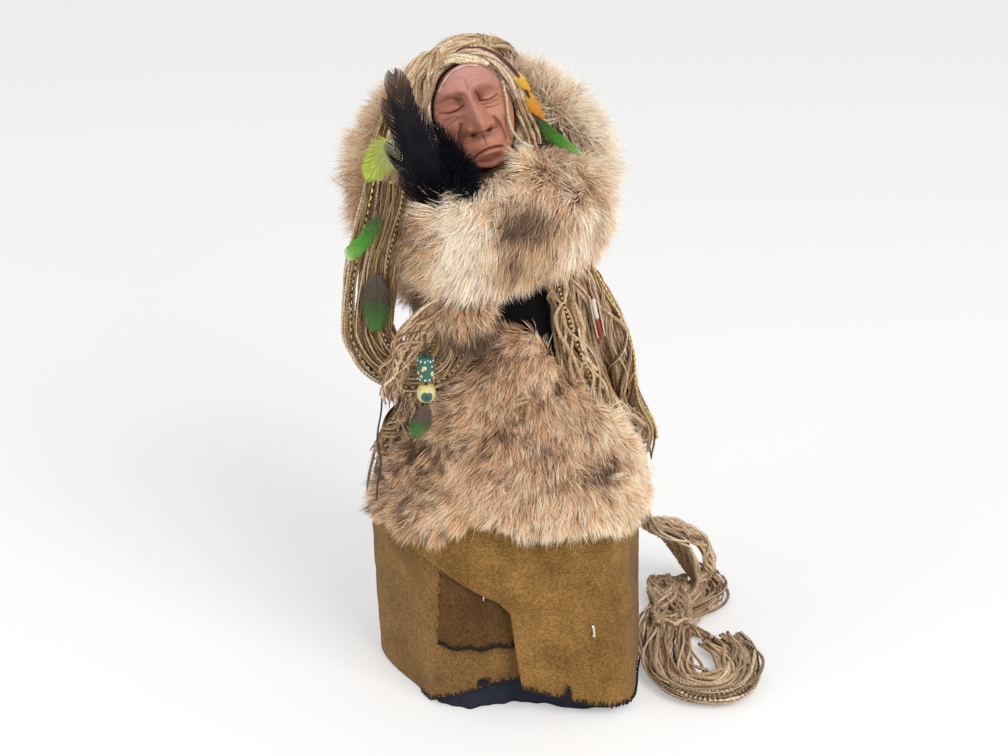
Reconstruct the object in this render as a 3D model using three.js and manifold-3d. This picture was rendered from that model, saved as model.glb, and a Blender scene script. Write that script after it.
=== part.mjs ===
// An elder doll in fur and felt that stands on its own robe, with a feather fan in its raised hand.
// Millimetres. +Z is up, the face looks along -Y, +X is on the right of someone who looks at the face.
// The origin is the middle of the wooden block's underside, on the surface that the doll stands on.

import * as THREE from 'three';
import { mergeVertices } from 'three/addons/utils/BufferGeometryUtils.js';
import Module from 'manifold-3d';

const wasm = await Module();
wasm.setup();

// Gaps between pieces
const clearance = 0.3;
const cloth_clearance = 0.6;
const fur_clearance = 0.7;
const cut_overrun = 2;

// Levels of the body, each measured up from the one before
const lap_height = 105;
const lap_to_waist = 118;
const waist_to_chest = 38;
const chest_to_shoulder = 28;
const shoulder_to_neck = 14;
const neck_to_head = 29;

// The stuffed core that all the clothes lie on
const skirt_half_width = 65;
const waist_half_width = 43;
const waist_half_depth = 33;
const chest_half_width = 44;
const chest_half_depth = 35;
const shoulder_half_width = 40;
const shoulder_half_depth = 30;
const neck_radius = 13;
const head_lean = -12;

// Clothes, from the core outwards
const dress_thickness = 2;
const lining_thickness = 1.2;
const felt_thickness = 2.4;
const apron_pile = 12;
const cape_pile = 11;
const cape_front_pile = 4;
const robe_overlap = 45;
const robe_arch_height = 18;
const corner_hem_height = 42;

// Block, dowel and arm wires
const block_side_inset = 18;
const block_front_inset = 22;
const block_corner_radius = 19;
const block_height = 36;
const block_edge_radius = 2.5;
const dowel_radius = 6;
const socket_depth = 22;
const neck_post_radius = 4;
const arm_wire_radius = 1.3;

// Head
const head_half_width = 25;
const head_half_depth = 27;
const head_half_height = 32;
const head_forward = 8;
const head_aside = 5;
const head_yaw = 10;
const head_pitch = 20;
const head_roll = 15;
const pole_gap = 12;
const roll_end_turn = 38;
const hair_thickness = 7.5;
const face_drop = 2;
const face_half_width = 21.5;
const face_half_height = 28.5;
const face_relief = 29;
const face_rim_depth = 4;
const nose_length = 5.6;
const nose_half_width = 3.4;
const hair_roll_radius = 4.6;

// Fur hood behind the head
const ruff_spread = 24;
const ruff_half_height = 55;
const ruff_depth = 50;
const ruff_front = 11;
const ruff_wall = 17;
const ruff_rise = 10;
const ruff_tilt = 14;

// Arms
const elbow_out = 33;
const elbow_forward = 46;
const elbow_drop = 1.5;
const elbow_radius = 14;
const elbow_half_height = 24;
const sleeve_reach = 73;
const cuff_drop = 3;
const sleeve_half_height = 37;
const sleeve_half_depth = 14.5;
const lowered_sleeve_radius = 12.5;

// Hair
const strand_radius = 3.2;
const strand_spacing = 6.7;
const swag_start_turn = 200;
const side_lock_radius = 7.5;
const back_hair_half_width = 30;
const back_hair_half_thickness = 4.5;
const trail_radius = 3.8;
const trail_spacing = 8.6;
const loose_cord_radius = 0.7;

// Feathers and beads
const feather_thickness = 1.6;
const feather_half_width = 5.6;
const fluff_half_width = 8;
const quill_radius = 0.7;
const bead_cord_radius = 0.6;
const tube_bead_radius = 4.4;
const tube_bead_length = 14;
const round_bead_radius = 5;
const bead_bore_gap = 0.25;

// Derived levels
const waist_height = lap_height + lap_to_waist;
const chest_height = waist_height + waist_to_chest;
const shoulder_height = chest_height + chest_to_shoulder;
const neck_height = shoulder_height + shoulder_to_neck;
const head_height = neck_height + neck_to_head;
const crown_height = head_height + head_half_height + hair_thickness;
const robe_top = lap_height + robe_overlap;
const dress_hem_height = lap_height / 2;
const ruff_half_width = chest_half_width + ruff_spread;
const block_half_width = skirt_half_width - block_side_inset;
const block_half_depth = skirt_half_width - block_front_inset;

// Each layer's inner and outer stand-off from the core
function layerOver(below, thickness, gap = cloth_clearance) {
  return { inner: below.outer + gap, outer: below.outer + gap + thickness };
}
const core_skin = { outer: 0 };
const dress_layer = layerOver(core_skin, dress_thickness);
const lining_layer = layerOver(dress_layer, lining_thickness);
const wrap_layer = layerOver(lining_layer, felt_thickness);
const corner_layer = layerOver(wrap_layer, felt_thickness);
const flap_layer = layerOver(corner_layer, felt_thickness, 1.6 * cloth_clearance);

// Plan of the skirt every 22.5 degrees from +X by way of the back, at the floor and at the lap
const floor_plan_shares = [1.0, 0.98, 0.92, 0.86, 0.84, 0.86, 0.92, 0.98,
  0.98, 0.84, 0.86, 1.03, 0.83, 0.91, 1.33, 1.07];
const lap_plan_shares = [0.97, 0.98, 0.93, 0.87, 0.85, 0.87, 0.93, 1.0,
  1.05, 0.98, 0.92, 0.86, 0.84, 0.92, 1.1, 1.0];

const degrees = Math.PI / 180;
const full_turn = 2 * Math.PI;
const half_turn = 180;
const column_count = 36;
const column_turn = full_turn / column_count;
const columnAt = (turn) => Math.round(turn * degrees / column_turn);

// Number helpers
const mix = THREE.MathUtils.lerp;
const smooth = (value, low, high) => THREE.MathUtils.smoothstep(value, low, high);
const bump = (x, width) => Math.exp(-((x / width) ** 2));
const point = (x, y, z) => new THREE.Vector3(x, y, z);

function spread(low, high, count) {
  return Array.from({ length: count }, (_, i) => mix(low, high, i / (count - 1)));
}

function around(shares, angle) {
  const place = THREE.MathUtils.euclideanModulo(angle / full_turn, 1) * shares.length;
  const first = Math.floor(place);
  const at = (offset) => shares[(first + offset + shares.length) % shares.length];
  const t = place - first;
  const slope_in = (at(1) - at(-1)) / 2;
  const slope_out = (at(2) - at(0)) / 2;
  const rise = at(1) - at(0);
  return at(0) + t * (slope_in + t * (3 * rise - 2 * slope_in - slope_out
    + t * (slope_in + slope_out - 2 * rise)));
}

function along(shares, t) {
  const place = THREE.MathUtils.clamp(t, 0, 1) * (shares.length - 1);
  const first = Math.min(Math.floor(place), shares.length - 2);
  return mix(shares[first], shares[first + 1], place - first);
}

// A closed body from points and faces, turned so that its faces point out
function solid(points, faces) {
  const raw = new THREE.BufferGeometry();
  raw.setAttribute('position', new THREE.Float32BufferAttribute(points.flatMap((p) => p.toArray()), 3));
  raw.setIndex(faces);
  const merged = mergeVertices(raw, clearance / 1000);
  const index = merged.index.array;
  const kept = [];
  for (let i = 0; i < index.length; i += 3) {
    const [a, b, c] = [index[i], index[i + 1], index[i + 2]];
    if (a !== b && b !== c && c !== a) kept.push(a, b, c);
  }
  merged.setIndex(kept);
  if (enclosedVolume(merged) < 0) merged.setIndex(kept.reverse());
  return merged;
}

function enclosedVolume(geometry) {
  const place = geometry.attributes.position;
  const index = geometry.index.array;
  const corner = (i) => new THREE.Vector3().fromBufferAttribute(place, index[i]);
  let volume = 0;
  for (let i = 0; i < index.length; i += 3) {
    volume += corner(i).dot(corner(i + 1).cross(corner(i + 2))) / 6;
  }
  return volume;
}

// Rings of points joined one to the next: closed on itself, or capped at both ends.
// A thin ring is a wall's outline, outside up and inside down, and is capped across its thickness. Its two
// sides are cut along the same diagonals, so that layers lie flat on each other.
function joinRings(rings, { wraps = false, thin = false } = {}) {
  const size = rings[0].length;
  const points = rings.flat();
  const faces = [];
  const quad = (a, b, c, d) => faces.push(a, b, c, a, c, d);
  const spans = wraps ? rings.length : rings.length - 1;
  for (let r = 0; r < spans; r++) {
    const here = r * size;
    const next = ((r + 1) % rings.length) * size;
    for (let i = 0; i < size; i++) {
      const j = (i + 1) % size;
      const on_inside = thin && i >= size / 2;
      if (on_inside) quad(here + j, next + j, next + i, here + i);
      else quad(here + i, here + j, next + j, next + i);
    }
  }
  if (wraps) return solid(points, faces);
  const last = (rings.length - 1) * size;
  if (thin) {
    for (let i = 0; i < size / 2 - 1; i++) {
      const j = size - 1 - i;
      quad(i + 1, i, j, j - 1);
      quad(last + i, last + i + 1, last + j - 1, last + j);
    }
    return solid(points, faces);
  }
  const middle = (ring) => ring.reduce((sum, p) => sum.add(p), point(0, 0, 0)).divideScalar(size);
  points.push(middle(rings[0]), middle(rings[rings.length - 1]));
  for (let i = 0; i < size; i++) {
    const j = (i + 1) % size;
    faces.push(points.length - 2, j, i);
    faces.push(points.length - 1, last + i, last + j);
  }
  return solid(points, faces);
}

function toManifold(geometry) {
  return new wasm.Manifold(new wasm.Mesh({
    numProp: 3,
    vertProperties: new Float32Array(geometry.attributes.position.array),
    triVerts: new Uint32Array(geometry.index.array),
  }));
}

function fromManifold(body) {
  const mesh = body.getMesh();
  const points = [];
  for (let i = 0; i < mesh.vertProperties.length; i += mesh.numProp) {
    points.push(point(...mesh.vertProperties.slice(i, i + 3)));
  }
  return solid(points, [...mesh.triVerts]);
}

// A piece with room cut in it for its neighbours, less any offcut
function carve(geometry, ...cutters) {
  const cut = cutters.reduce((body, cutter) => body.subtract(toManifold(cutter)), toManifold(geometry));
  const [largest] = cut.decompose().sort((a, b) => b.volume() - a.volume());
  return fromManifold(largest);
}

// Body shape
function ellipseRadius(half_width, half_depth, angle) {
  return half_width * half_depth / Math.hypot(half_depth * Math.cos(angle), half_width * Math.sin(angle));
}

function corePlan(angle, z) {
  const stations = [
    [0, skirt_half_width * around(floor_plan_shares, angle)],
    [lap_height, skirt_half_width * around(lap_plan_shares, angle)],
    [waist_height, ellipseRadius(waist_half_width, waist_half_depth, angle)],
    [chest_height, ellipseRadius(chest_half_width, chest_half_depth, angle)],
    [shoulder_height, ellipseRadius(shoulder_half_width, shoulder_half_depth, angle)],
    [neck_height, neck_radius],
  ];
  const above = Math.max(1, stations.findIndex(([height]) => z <= height));
  const [low, low_radius] = stations[above - 1];
  const [high, high_radius] = stations[above];
  const t = (z - low) / (high - low);
  return mix(low_radius, high_radius, (t + smooth(t, 0, 1)) / 2);
}

const levels = [
  ...spread(0, lap_height, 3).slice(0, -1),
  ...spread(lap_height, waist_height, 4).slice(0, -1),
  waist_height,
  chest_height,
  shoulder_height,
  mix(shoulder_height, neck_height, 0.5),
  neck_height,
];

// The core is straight from each level to the next, so layers cut at any height still lie flat together
function betweenLevels(z, valueAt) {
  const above = levels.findIndex((level) => z <= level);
  if (above < 0) return valueAt(neck_height);
  if (above === 0) return valueAt(0);
  const t = (z - levels[above - 1]) / (levels[above] - levels[above - 1]);
  return mix(valueAt(levels[above - 1]), valueAt(levels[above]), t);
}

function bodyRadius(angle, z) {
  return betweenLevels(z, (level) => corePlan(angle, level));
}

function bodyMiddle(z) {
  return betweenLevels(z, (level) => head_lean * smooth(level, waist_height, neck_height));
}

function onBody(angle, z, stand_off) {
  const radius = bodyRadius(angle, z) + stand_off;
  return point(bodyMiddle(z) + radius * Math.cos(angle), radius * Math.sin(angle), z);
}

function levelsBetween(low, high) {
  return [low, ...levels.filter((z) => z > low + clearance && z < high - clearance), high];
}

// Everything inside a stand-off from the core, between two heights
function bodyFill(low, high, stand_off) {
  const rings = levelsBetween(low, high).map((z) => Array.from({ length: column_count },
    (_, i) => onBody(i * column_turn, z, stand_off(i * column_turn, z))));
  return joinRings(rings);
}

// A layer of cloth or fur that follows the core from one turn to another
function wall({ from_turn = 0, to_turn = 2 * half_turn, heights, inner, outer }) {
  const [from, to] = [columnAt(from_turn), columnAt(to_turn)];
  const wraps = to - from === column_count;
  const rings = [];
  for (let c = from; c < to + (wraps ? 0 : 1); c++) {
    const angle = c * column_turn;
    const zs = heights(angle, (c - from) / (to - from));
    const outside = zs.map((z, i) => onBody(angle, z, outer(angle, z, i / (zs.length - 1))));
    const inside = zs.map((z, i) => onBody(angle, z, inner(angle, z, i / (zs.length - 1))));
    rings.push([...outside, ...inside.reverse()]);
  }
  return joinRings(rings, { wraps, thin: true });
}

// A soft solid along a route, with an oval section that may be lobed and twisted like a hank
function loft(places, { wide, deep = wide, sides = 10, steps = 16, across, lobes = 0, twist = 0,
  lobe_share = 0, ends_share = 0.55, floor = -Infinity }) {
  const curve = new THREE.CatmullRomCurve3(places, false, 'centripetal');
  const rings = spread(0, 1, steps + 1).map((t) => {
    const middle = curve.getPoint(t);
    const ahead = curve.getTangent(t);
    const side = ahead.clone().cross(across).normalize();
    const up = side.clone().cross(ahead).normalize();
    const near_end = Math.min(t, 1 - t) * steps;
    const taper = mix(ends_share, 1, smooth(near_end, 0, 1.5));
    const half_wide = taper * (typeof wide === 'function' ? wide(t) : wide);
    const half_deep = taper * (typeof deep === 'function' ? deep(t) : deep);
    return Array.from({ length: sides }, (_, i) => {
      const angle = i * full_turn / sides;
      const lobe = 1 - lobe_share * (1 - Math.cos(lobes * angle + twist * full_turn * t)) / 2;
      const spot = middle.clone().addScaledVector(side, half_wide * lobe * Math.cos(angle));
      spot.addScaledVector(up, half_deep * lobe * Math.sin(angle));
      spot.z = Math.max(spot.z, floor);
      return spot;
    });
  });
  return joinRings(rings);
}

const x_axis = point(1, 0, 0);
const y_axis = point(0, 1, 0);
const z_axis = point(0, 0, 1);

// Rounded block with a socket for the dowel, on which the whole doll stands
function supportBlock() {
  const outline = new THREE.Shape();
  const [w, d, r] = [block_half_width, block_half_depth, block_corner_radius];
  const inset = block_edge_radius;
  outline.absarc(w - r, d - r, r - inset, 0, 90 * degrees);
  outline.absarc(r - w, d - r, r - inset, 90 * degrees, half_turn * degrees);
  outline.absarc(r - w, r - d, r - inset, half_turn * degrees, 270 * degrees);
  outline.absarc(w - r, r - d, r - inset, 270 * degrees, 360 * degrees);
  const body = new THREE.ExtrudeGeometry(outline, {
    depth: block_height - 2 * block_edge_radius,
    bevelThickness: block_edge_radius,
    bevelSize: block_edge_radius,
    bevelSegments: 1,
    curveSegments: 3,
  });
  body.translate(0, 0, block_edge_radius);
  return carve(plain(body), dowelSolid(clearance));
}

// A three.js geometry reduced to its merged positions
function plain(geometry) {
  const bare = geometry.index ? geometry.toNonIndexed() : geometry;
  const places = bare.attributes.position;
  const points = Array.from({ length: places.count },
    (_, i) => new THREE.Vector3().fromBufferAttribute(places, i));
  return solid(points, points.map((_, i) => i));
}

const dowel_foot = block_height - socket_depth;
const dowel_top = shoulder_height - cut_overrun;

function rod(places, radius, sides = 8) {
  return loft(places, { wide: radius, sides, steps: places.length * 2, across: x_axis, ends_share: 1 });
}

function dowelSolid(grow = 0) {
  const places = [point(0, 0, dowel_foot - grow), point(0, 0, dowel_top + grow)];
  return loft(places, { wide: dowel_radius + grow, sides: 12, steps: 1, across: y_axis, ends_share: 1 });
}

// Head, in its own frame: face along -Y, crown along +Z
const head_frame = new THREE.Matrix4().makeRotationFromEuler(
  new THREE.Euler(-head_pitch * degrees, -head_roll * degrees, head_yaw * degrees, 'ZXY'));
head_frame.setPosition(bodyMiddle(neck_height) - head_aside, -head_forward, head_height);
const inHead = (x, y, z) => point(x, y, z).applyMatrix4(head_frame);
const inFace = (x, y, z) => inHead(x, y, z - face_drop);

const head_polars = spread(pole_gap, half_turn - pole_gap, 8);
const hair_edge_polar = 97;
const head_sides = 18;

function headFill(grow) {
  const sides = head_sides;
  const loops = head_polars.map((polar) => Array.from({ length: sides }, (_, i) => {
    const angle = i * full_turn / sides;
    const ring = Math.sin(polar * degrees);
    return inHead((head_half_width + grow) * ring * Math.cos(angle),
      (head_half_depth + grow) * Math.cos(polar * degrees),
      (head_half_height + grow) * ring * Math.sin(angle));
  }));
  return joinRings(loops);
}

// A short post that carries the head on the padded neck
function neckPost(grow = 0) {
  const foot = point(bodyMiddle(shoulder_height), 0, dowel_top + dowel_radius + 2 * clearance - grow);
  const top = inHead(0, head_forward, 0).add(point(head_aside, 0, grow - head_half_height * 0.3));
  return loft([foot, top], { wide: neck_post_radius + grow, sides: 10, steps: 2, across: y_axis,
    ends_share: 1 });
}

// Hair over the back of the head, open at the front for the face
function hairCap() {
  const sides = head_sides;
  const shell = (grow, polar) => Array.from({ length: sides }, (_, i) => {
    const angle = i * full_turn / sides;
    const wave = 1 + (grow > clearance ? 0.03 * Math.cos(angle * sides / 2) : 0);
    const ring = Math.sin(polar) * wave;
    const depth = (head_half_depth + grow) * Math.cos(polar);
    return inHead((head_half_width + grow) * ring * Math.cos(angle),
      Math.max(depth, clearance - face_rim_depth),
      (head_half_height + grow) * ring * Math.sin(angle));
  });
  const polars = [...head_polars.slice(0, 4), hair_edge_polar].map((polar) => polar * degrees);
  const outside = polars.map((polar) => shell(hair_thickness, polar));
  const inside = polars.map((polar) => shell(clearance, polar)).reverse();
  return carve(joinRings([...outside, ...inside]), neckFill(dress_layer.outer + clearance),
    neckPost(clearance));
}

const neckFill = (grow) => bodyFill(chest_height, neck_height + grow, () => grow);

// Edge of the clay face at an angle round its middle
function faceEdge(angle) {
  const narrowing = 1 - 0.2 * Math.max(0, -Math.sin(angle));
  return [face_half_width * Math.cos(angle) * narrowing, face_half_height * Math.sin(angle)];
}

// How far the clay stands forward of the head's middle plane
function faceForward(x, z) {
  const u = x / face_half_width;
  const v = z / face_half_height;
  const side = Math.abs(u);
  const skull = Math.sqrt(Math.max(0.16, 1 - 0.8 * u * u - 0.34 * v * v));
  const nose_run = smooth(v, -0.28, -0.16) * (1 - smooth(v, -0.12, 0.42));
  const nose = nose_run * bump(x, nose_half_width) + 0.45 * bump(side - 0.17, 0.09) * bump(v + 0.2, 0.08);
  const bridge = 0.35 * bump(u, 0.14) * bump(v - 0.25, 0.28);
  const brow = 0.28 * bump(side - 0.35, 0.28) * bump(v - 0.42, 0.1);
  const socket = -0.42 * bump(side - 0.4, 0.2) * bump(v - 0.22, 0.12);
  const lid = 0.26 * bump(side - 0.4, 0.15) * bump(v - 0.2, 0.06);
  const cheek = 0.42 * bump(side - 0.52, 0.2) * bump(v + 0.14, 0.16);
  const fold = -0.3 * bump(side - 0.3 + 0.25 * (v + 0.3), 0.05) * bump(v + 0.38, 0.16);
  const lips = 0.5 * bump(u, 0.3) * (bump(v + 0.5, 0.05) + bump(v + 0.64, 0.06));
  const mouth = -0.35 * bump(u, 0.28) * bump(v + 0.57 - 0.18 * side, 0.03);
  const chin = 0.55 * bump(u, 0.25) * bump(v + 0.86, 0.12);
  const relief = nose + bridge + brow + socket + lid + cheek + fold + lips + mouth + chin;
  return face_relief * skull + nose_length * relief;
}

function faceMask() {
  const sides = 26;
  const front = spread(0.06, 1, 11).map((share) => Array.from({ length: sides }, (_, i) => {
    const [x, z] = faceEdge(i * full_turn / sides);
    return inFace(x * share, -faceForward(x * share, z * share), z * share);
  }));
  const back = Array.from({ length: sides }, (_, i) => {
    const [x, z] = faceEdge(i * full_turn / sides);
    return inFace(x, -face_rim_depth, z);
  });
  return carve(joinRings([...front, back]), headFill(clearance));
}

// A place beside the face at a turn round it: on the hair roll's middle line, or off it by shares of its
// radius outward and forward
function besideFace(turn, outward = 0, forward = 0) {
  const [x, z] = faceEdge(turn * degrees);
  const out = hair_roll_radius + fur_clearance + outward * hair_roll_radius;
  return inFace(x + out * Math.cos(turn * degrees), -face_rim_depth - hair_roll_radius * (1.25 + forward),
    z + out * Math.sin(turn * degrees));
}

// Thick roll of hair that frames the face from one jaw over the top to the other
function hairRoll() {
  const places = spread(-roll_end_turn, half_turn + roll_end_turn, 11).map((turn) => besideFace(turn));
  const face_way = point(0, 1, 0).transformDirection(head_frame);
  const roll = loft(places, { wide: hair_roll_radius, sides: 8, steps: 22, across: face_way,
    lobes: 2, twist: 6, lobe_share: 0.3 });
  return carve(roll, headFill(clearance));
}

// Fur hood that stands behind the head, leaning back
const ruff_frame = new THREE.Matrix4().makeRotationX(-ruff_tilt * degrees);
ruff_frame.setPosition(bodyMiddle(shoulder_height), 0, shoulder_height + ruff_rise);

function ruffRing(y, reach_share, grow, sides) {
  return Array.from({ length: sides }, (_, i) => {
    const angle = i * full_turn / sides;
    return point((ruff_half_width * reach_share + grow) * Math.cos(angle), y,
      (ruff_half_height * reach_share + grow) * Math.sin(angle)).applyMatrix4(ruff_frame);
  });
}

// Hood profile from its lip to its closed back, as shares of depth and reach
const ruff_outer_shares = [[0.0, 0.9], [0.12, 0.98], [0.3, 1.0], [0.52, 0.93], [0.74, 0.76], [0.9, 0.5],
  [1, 0.2]];

function ruffFill(grow = 0, sides = 18) {
  const rings = ruff_outer_shares.map(([depth, reach]) => {
    const y = mix(-ruff_front - grow, ruff_depth - ruff_front + grow, depth);
    return ruffRing(y, reach, grow, sides);
  });
  return joinRings(rings);
}

function furRuff() {
  const sides = 18;
  const hollow = ruff_outer_shares.map(([depth, reach]) => {
    const y = mix(-ruff_front - cut_overrun, ruff_depth - ruff_front - ruff_wall, depth);
    return ruffRing(y, reach, -ruff_wall * (1 - 0.4 * depth), sides);
  });
  return carve(ruffFill(), joinRings(hollow), capeFill(clearance), hairFill(clearance));
}

const hairFill = (grow) => headFill(hair_thickness * 1.3 + grow);

// Clothes
function capePile(angle) {
  const front = bump(Math.cos((angle - 300 * degrees) / 2) ** 2 - 1, 0.35);
  return mix(cape_pile, cape_front_pile, front);
}
const cape_hem_shares = [0.2, 0.0, -0.15, -0.2, -0.2, -0.2, -0.15, -0.05, 0.0, 0.1, 0.3, 0.45];
const cape_top = mix(shoulder_height, neck_height, 0.5);
const cape_offset = (angle) => dress_layer.outer + fur_clearance + capePile(angle);
const capeHem = (angle) => waist_height + waist_to_chest * (0.4 + around(cape_hem_shares, angle));

function capeFill(grow) {
  return bodyFill(waist_height - waist_to_chest, cape_top + grow, (angle) => cape_offset(angle) + grow);
}

function furCape() {
  return wall({
    heights: (angle) => [capeHem(angle), mix(capeHem(angle), chest_height, 0.4), chest_height,
      shoulder_height, cape_top],
    inner: () => dress_layer.outer + fur_clearance,
    outer: (angle, z, t) => mix(dress_layer.outer + 2 * fur_clearance, cape_offset(angle),
      smooth(t, -0.25, 0.12)),
  });
}

function dress() {
  const zs = levelsBetween(dress_hem_height, cape_top);
  return wall({
    heights: () => zs,
    inner: () => dress_layer.inner,
    outer: () => dress_layer.outer,
  });
}

const skirt_levels = levels.filter((z) => z > clearance && z < robe_top - clearance);

function robeLining() {
  return wall({
    heights: () => [0, ...skirt_levels, robe_top],
    inner: () => lining_layer.inner,
    outer: () => lining_layer.outer,
  });
}

// The hem lifts into a low arch at the front
const arch_middle_turn = 276;
const arch_half_turn = 44;
function archLift(angle) {
  const away = Math.abs(angle / degrees - arch_middle_turn) / arch_half_turn;
  return robe_arch_height * Math.max(0, Math.cos(Math.min(1, away) * 90 * degrees));
}

function robeWrap() {
  return wall({
    heights: (angle) => [archLift(angle), ...skirt_levels, robe_top],
    inner: () => wrap_layer.inner,
    outer: () => wrap_layer.outer,
  });
}

const panel_first_turn = 240;
const panel_last_turn = 290;
function robeInnerPanel() {
  return wall({
    from_turn: panel_first_turn,
    to_turn: panel_last_turn,
    heights: () => [corner_hem_height, ...skirt_levels.filter((z) => z > corner_hem_height), robe_top],
    inner: () => corner_layer.inner,
    outer: () => corner_layer.outer,
  });
}

// Lower edge of the outer flap, column by column from its drawn-up corner round to the right side
const flap_first_turn = 210;
const flap_last_turn = 350;
const flap_hem_shares = [0.98, 0.97, 0.94, 0.88, 0.81, 0.73, 0.65, 0.16, 0.13, 0.09, 0.05, 0.02, 0.0,
  0.0, 0.0];

function robeFrontFlap() {
  return wall({
    from_turn: flap_first_turn,
    to_turn: flap_last_turn,
    heights: (angle, t) => {
      const hem = lap_height * along(flap_hem_shares, t);
      const between = hem < lap_height / 2 ? lap_height / 2 : mix(hem, lap_height, 0.5);
      return [hem, between, lap_height, ...skirt_levels.filter((z) => z > lap_height), robe_top];
    },
    inner: () => flap_layer.inner,
    outer: () => flap_layer.outer,
  });
}

// Fur apron from the waist over the lap
const apron_first_turn = 210;
const apron_last_turn = 340;
const apron_top_shares = [0.12, 0.3, 0.5, 0.66, 0.82, 0.95, 1.0, 1.0, 1.0, 0.94, 0.8, 0.62, 0.42, 0.22];
const apron_hem_shares = [0.16, 0.12, 0.08, 0.06, 0.08, 0.1, 0.08, 0.06, 0.08, 0.1, 0.08, 0.04, 0.06, 0.14];
const apron_inner = (z) => mix(flap_layer.outer, dress_layer.outer,
  smooth(z, robe_top + robe_overlap * 0.35, robe_top + robe_overlap)) + fur_clearance;

function furApron() {
  const row_count = 7;
  return wall({
    from_turn: apron_first_turn,
    to_turn: apron_last_turn,
    heights: (angle, t) => spread(lap_height + robe_overlap * along(apron_hem_shares, t),
      mix(lap_height + robe_overlap * 0.4, waist_height, along(apron_top_shares, t)), row_count),
    inner: (angle, z) => apron_inner(z),
    outer: (angle, z, t) => {
      const across = (angle / degrees - apron_first_turn) / (apron_last_turn - apron_first_turn);
      const edge = Math.min(1, 4 * Math.min(across, 1 - across) + 0.35);
      const pile = apron_pile * edge * (0.4 + 0.6 * smooth(t, -0.05, 0.15)) * (1 - 0.45 * smooth(t, 0.75, 1));
      return apron_inner(z) + pile;
    },
  });
}

// Raised arm: it turns at the elbow on an upright line, and the sleeve is round about that line
const elbow = point(elbow_out, -elbow_forward, shoulder_height - elbow_drop);
const cuff = elbow.clone().sub(point(sleeve_reach, sleeve_half_depth, cuff_drop));

const drum_sides = 16;

function elbowDrum(grow) {
  const tall = elbow_half_height + grow;
  const rings = spread(-1, 1, 7).map((t) => {
    const radius = (elbow_radius + grow) * Math.sqrt(Math.max(0.2, 1 - t ** 4));
    return Array.from({ length: drum_sides }, (_, i) => point(
      elbow.x + radius * Math.cos(i * full_turn / drum_sides),
      elbow.y + radius * Math.sin(i * full_turn / drum_sides),
      elbow.z + tall * t,
    ));
  });
  return joinRings(rings);
}

// Sleeve outline from elbow to cuff: top and bottom as shares of the half height
const sleeve_top_shares = [0.6, 1.0, 1.1, 0.98, 0.84, 0.72, 0.62, 0.5];
const sleeve_bottom_shares = [0.5, 0.6, 0.78, 0.9, 0.93, 0.9, 0.78, 0.6];

function forearmFill(grow) {
  const steps = 11;
  const sides = 14;
  const rings = spread(0, 1, steps).map((t) => {
    const middle = elbow.clone().lerp(cuff, t);
    const top = sleeve_half_height * along(sleeve_top_shares, t) + grow;
    const bottom = sleeve_half_height * along(sleeve_bottom_shares, t) + grow;
    const deep = grow + sleeve_half_depth * Math.sqrt(Math.max(0.3, 1 - (2 * Math.max(0, t - 0.75)) ** 2));
    return Array.from({ length: sides }, (_, i) => {
      const angle = i * full_turn / sides;
      const rise = Math.sin(angle) > 0 ? top : bottom;
      return point(middle.x, middle.y + deep * Math.cos(angle), middle.z + rise * Math.sin(angle));
    });
  });
  return joinRings(rings);
}

function forearmSleeve() {
  const body = fromManifold(toManifold(forearmFill(0)).add(toManifold(elbowDrum(0))));
  return carve(body, capeFill(clearance), rod(forearm_bore_places, arm_wire_radius + cloth_clearance),
    fanStick(clearance));
}

const hand = cuff.clone().lerp(elbow, 0.12);
const wrist = cuff.clone().lerp(elbow, 0.2);
const wire_mouth = elbow_radius - clearance;
const behindElbow = (distance) => elbow.clone().add(point(0, distance, 0));
const forearm_wire_places = [behindElbow(wire_mouth), behindElbow(wire_mouth / 3),
  elbow.clone().lerp(wrist, 0.1), elbow.clone().lerp(wrist, 0.5), wrist];
const forearm_bore_places = [behindElbow(wire_mouth + cut_overrun), ...forearm_wire_places];

function upperSleeve() {
  const shoulder = point(shoulder_half_width * 0.85, -shoulder_half_depth * 0.2, elbow.z);
  const between = point(elbow.x + elbow_radius * 0.4, mix(shoulder.y, elbow.y, 0.5), elbow.z);
  const places = [shoulder, between, elbow];
  const body = loft(places, { wide: elbow_radius * 1.15, deep: elbow_half_height, sides: 14, steps: 8,
    across: z_axis, ends_share: 0.8 });
  return carve(body, tallDrum(fur_clearance), forearmFill(fur_clearance), capeFill(clearance),
    ruffFill(clearance), rod(upper_wire_places, arm_wire_radius + clearance));
}

// The upright room that the elbow turns in, past both ends of the sleeve
function tallDrum(grow) {
  const reach = (elbow_radius + grow) / Math.cos(column_turn / 2);
  const ring = (z) => Array.from({ length: drum_sides }, (_, i) => point(
    elbow.x + reach * Math.cos(i * full_turn / drum_sides),
    elbow.y + reach * Math.sin(i * full_turn / drum_sides), z));
  return joinRings([ring(elbow.z - 2 * elbow_half_height), ring(elbow.z + 2 * elbow_half_height)]);
}

const upper_wire_places = [
  point(shoulder_half_width * 0.5, 0, elbow.z - elbow_half_height * 0.5),
  point(elbow.x, elbow.y + elbow_radius + fur_clearance + cloth_clearance, elbow.z),
];

// Lowered arm, held across the belly
const lowered_places = [
  point(-shoulder_half_width * 1.06, -shoulder_half_depth * 0.5,
    shoulder_height - lowered_sleeve_radius * 0.3),
  point(-chest_half_width * 0.9, -chest_half_depth, chest_height),
  point(-chest_half_width * 0.72, -chest_half_depth * 1.42, waist_height + lowered_sleeve_radius * 1.6),
  point(-chest_half_width * 0.16, -chest_half_depth * 1.64, waist_height + lowered_sleeve_radius * 1.15),
];

function loweredFill(grow) {
  return loft(lowered_places, { wide: lowered_sleeve_radius + grow, sides: 12, steps: 12, across: y_axis,
    ends_share: 0.8 });
}

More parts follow.
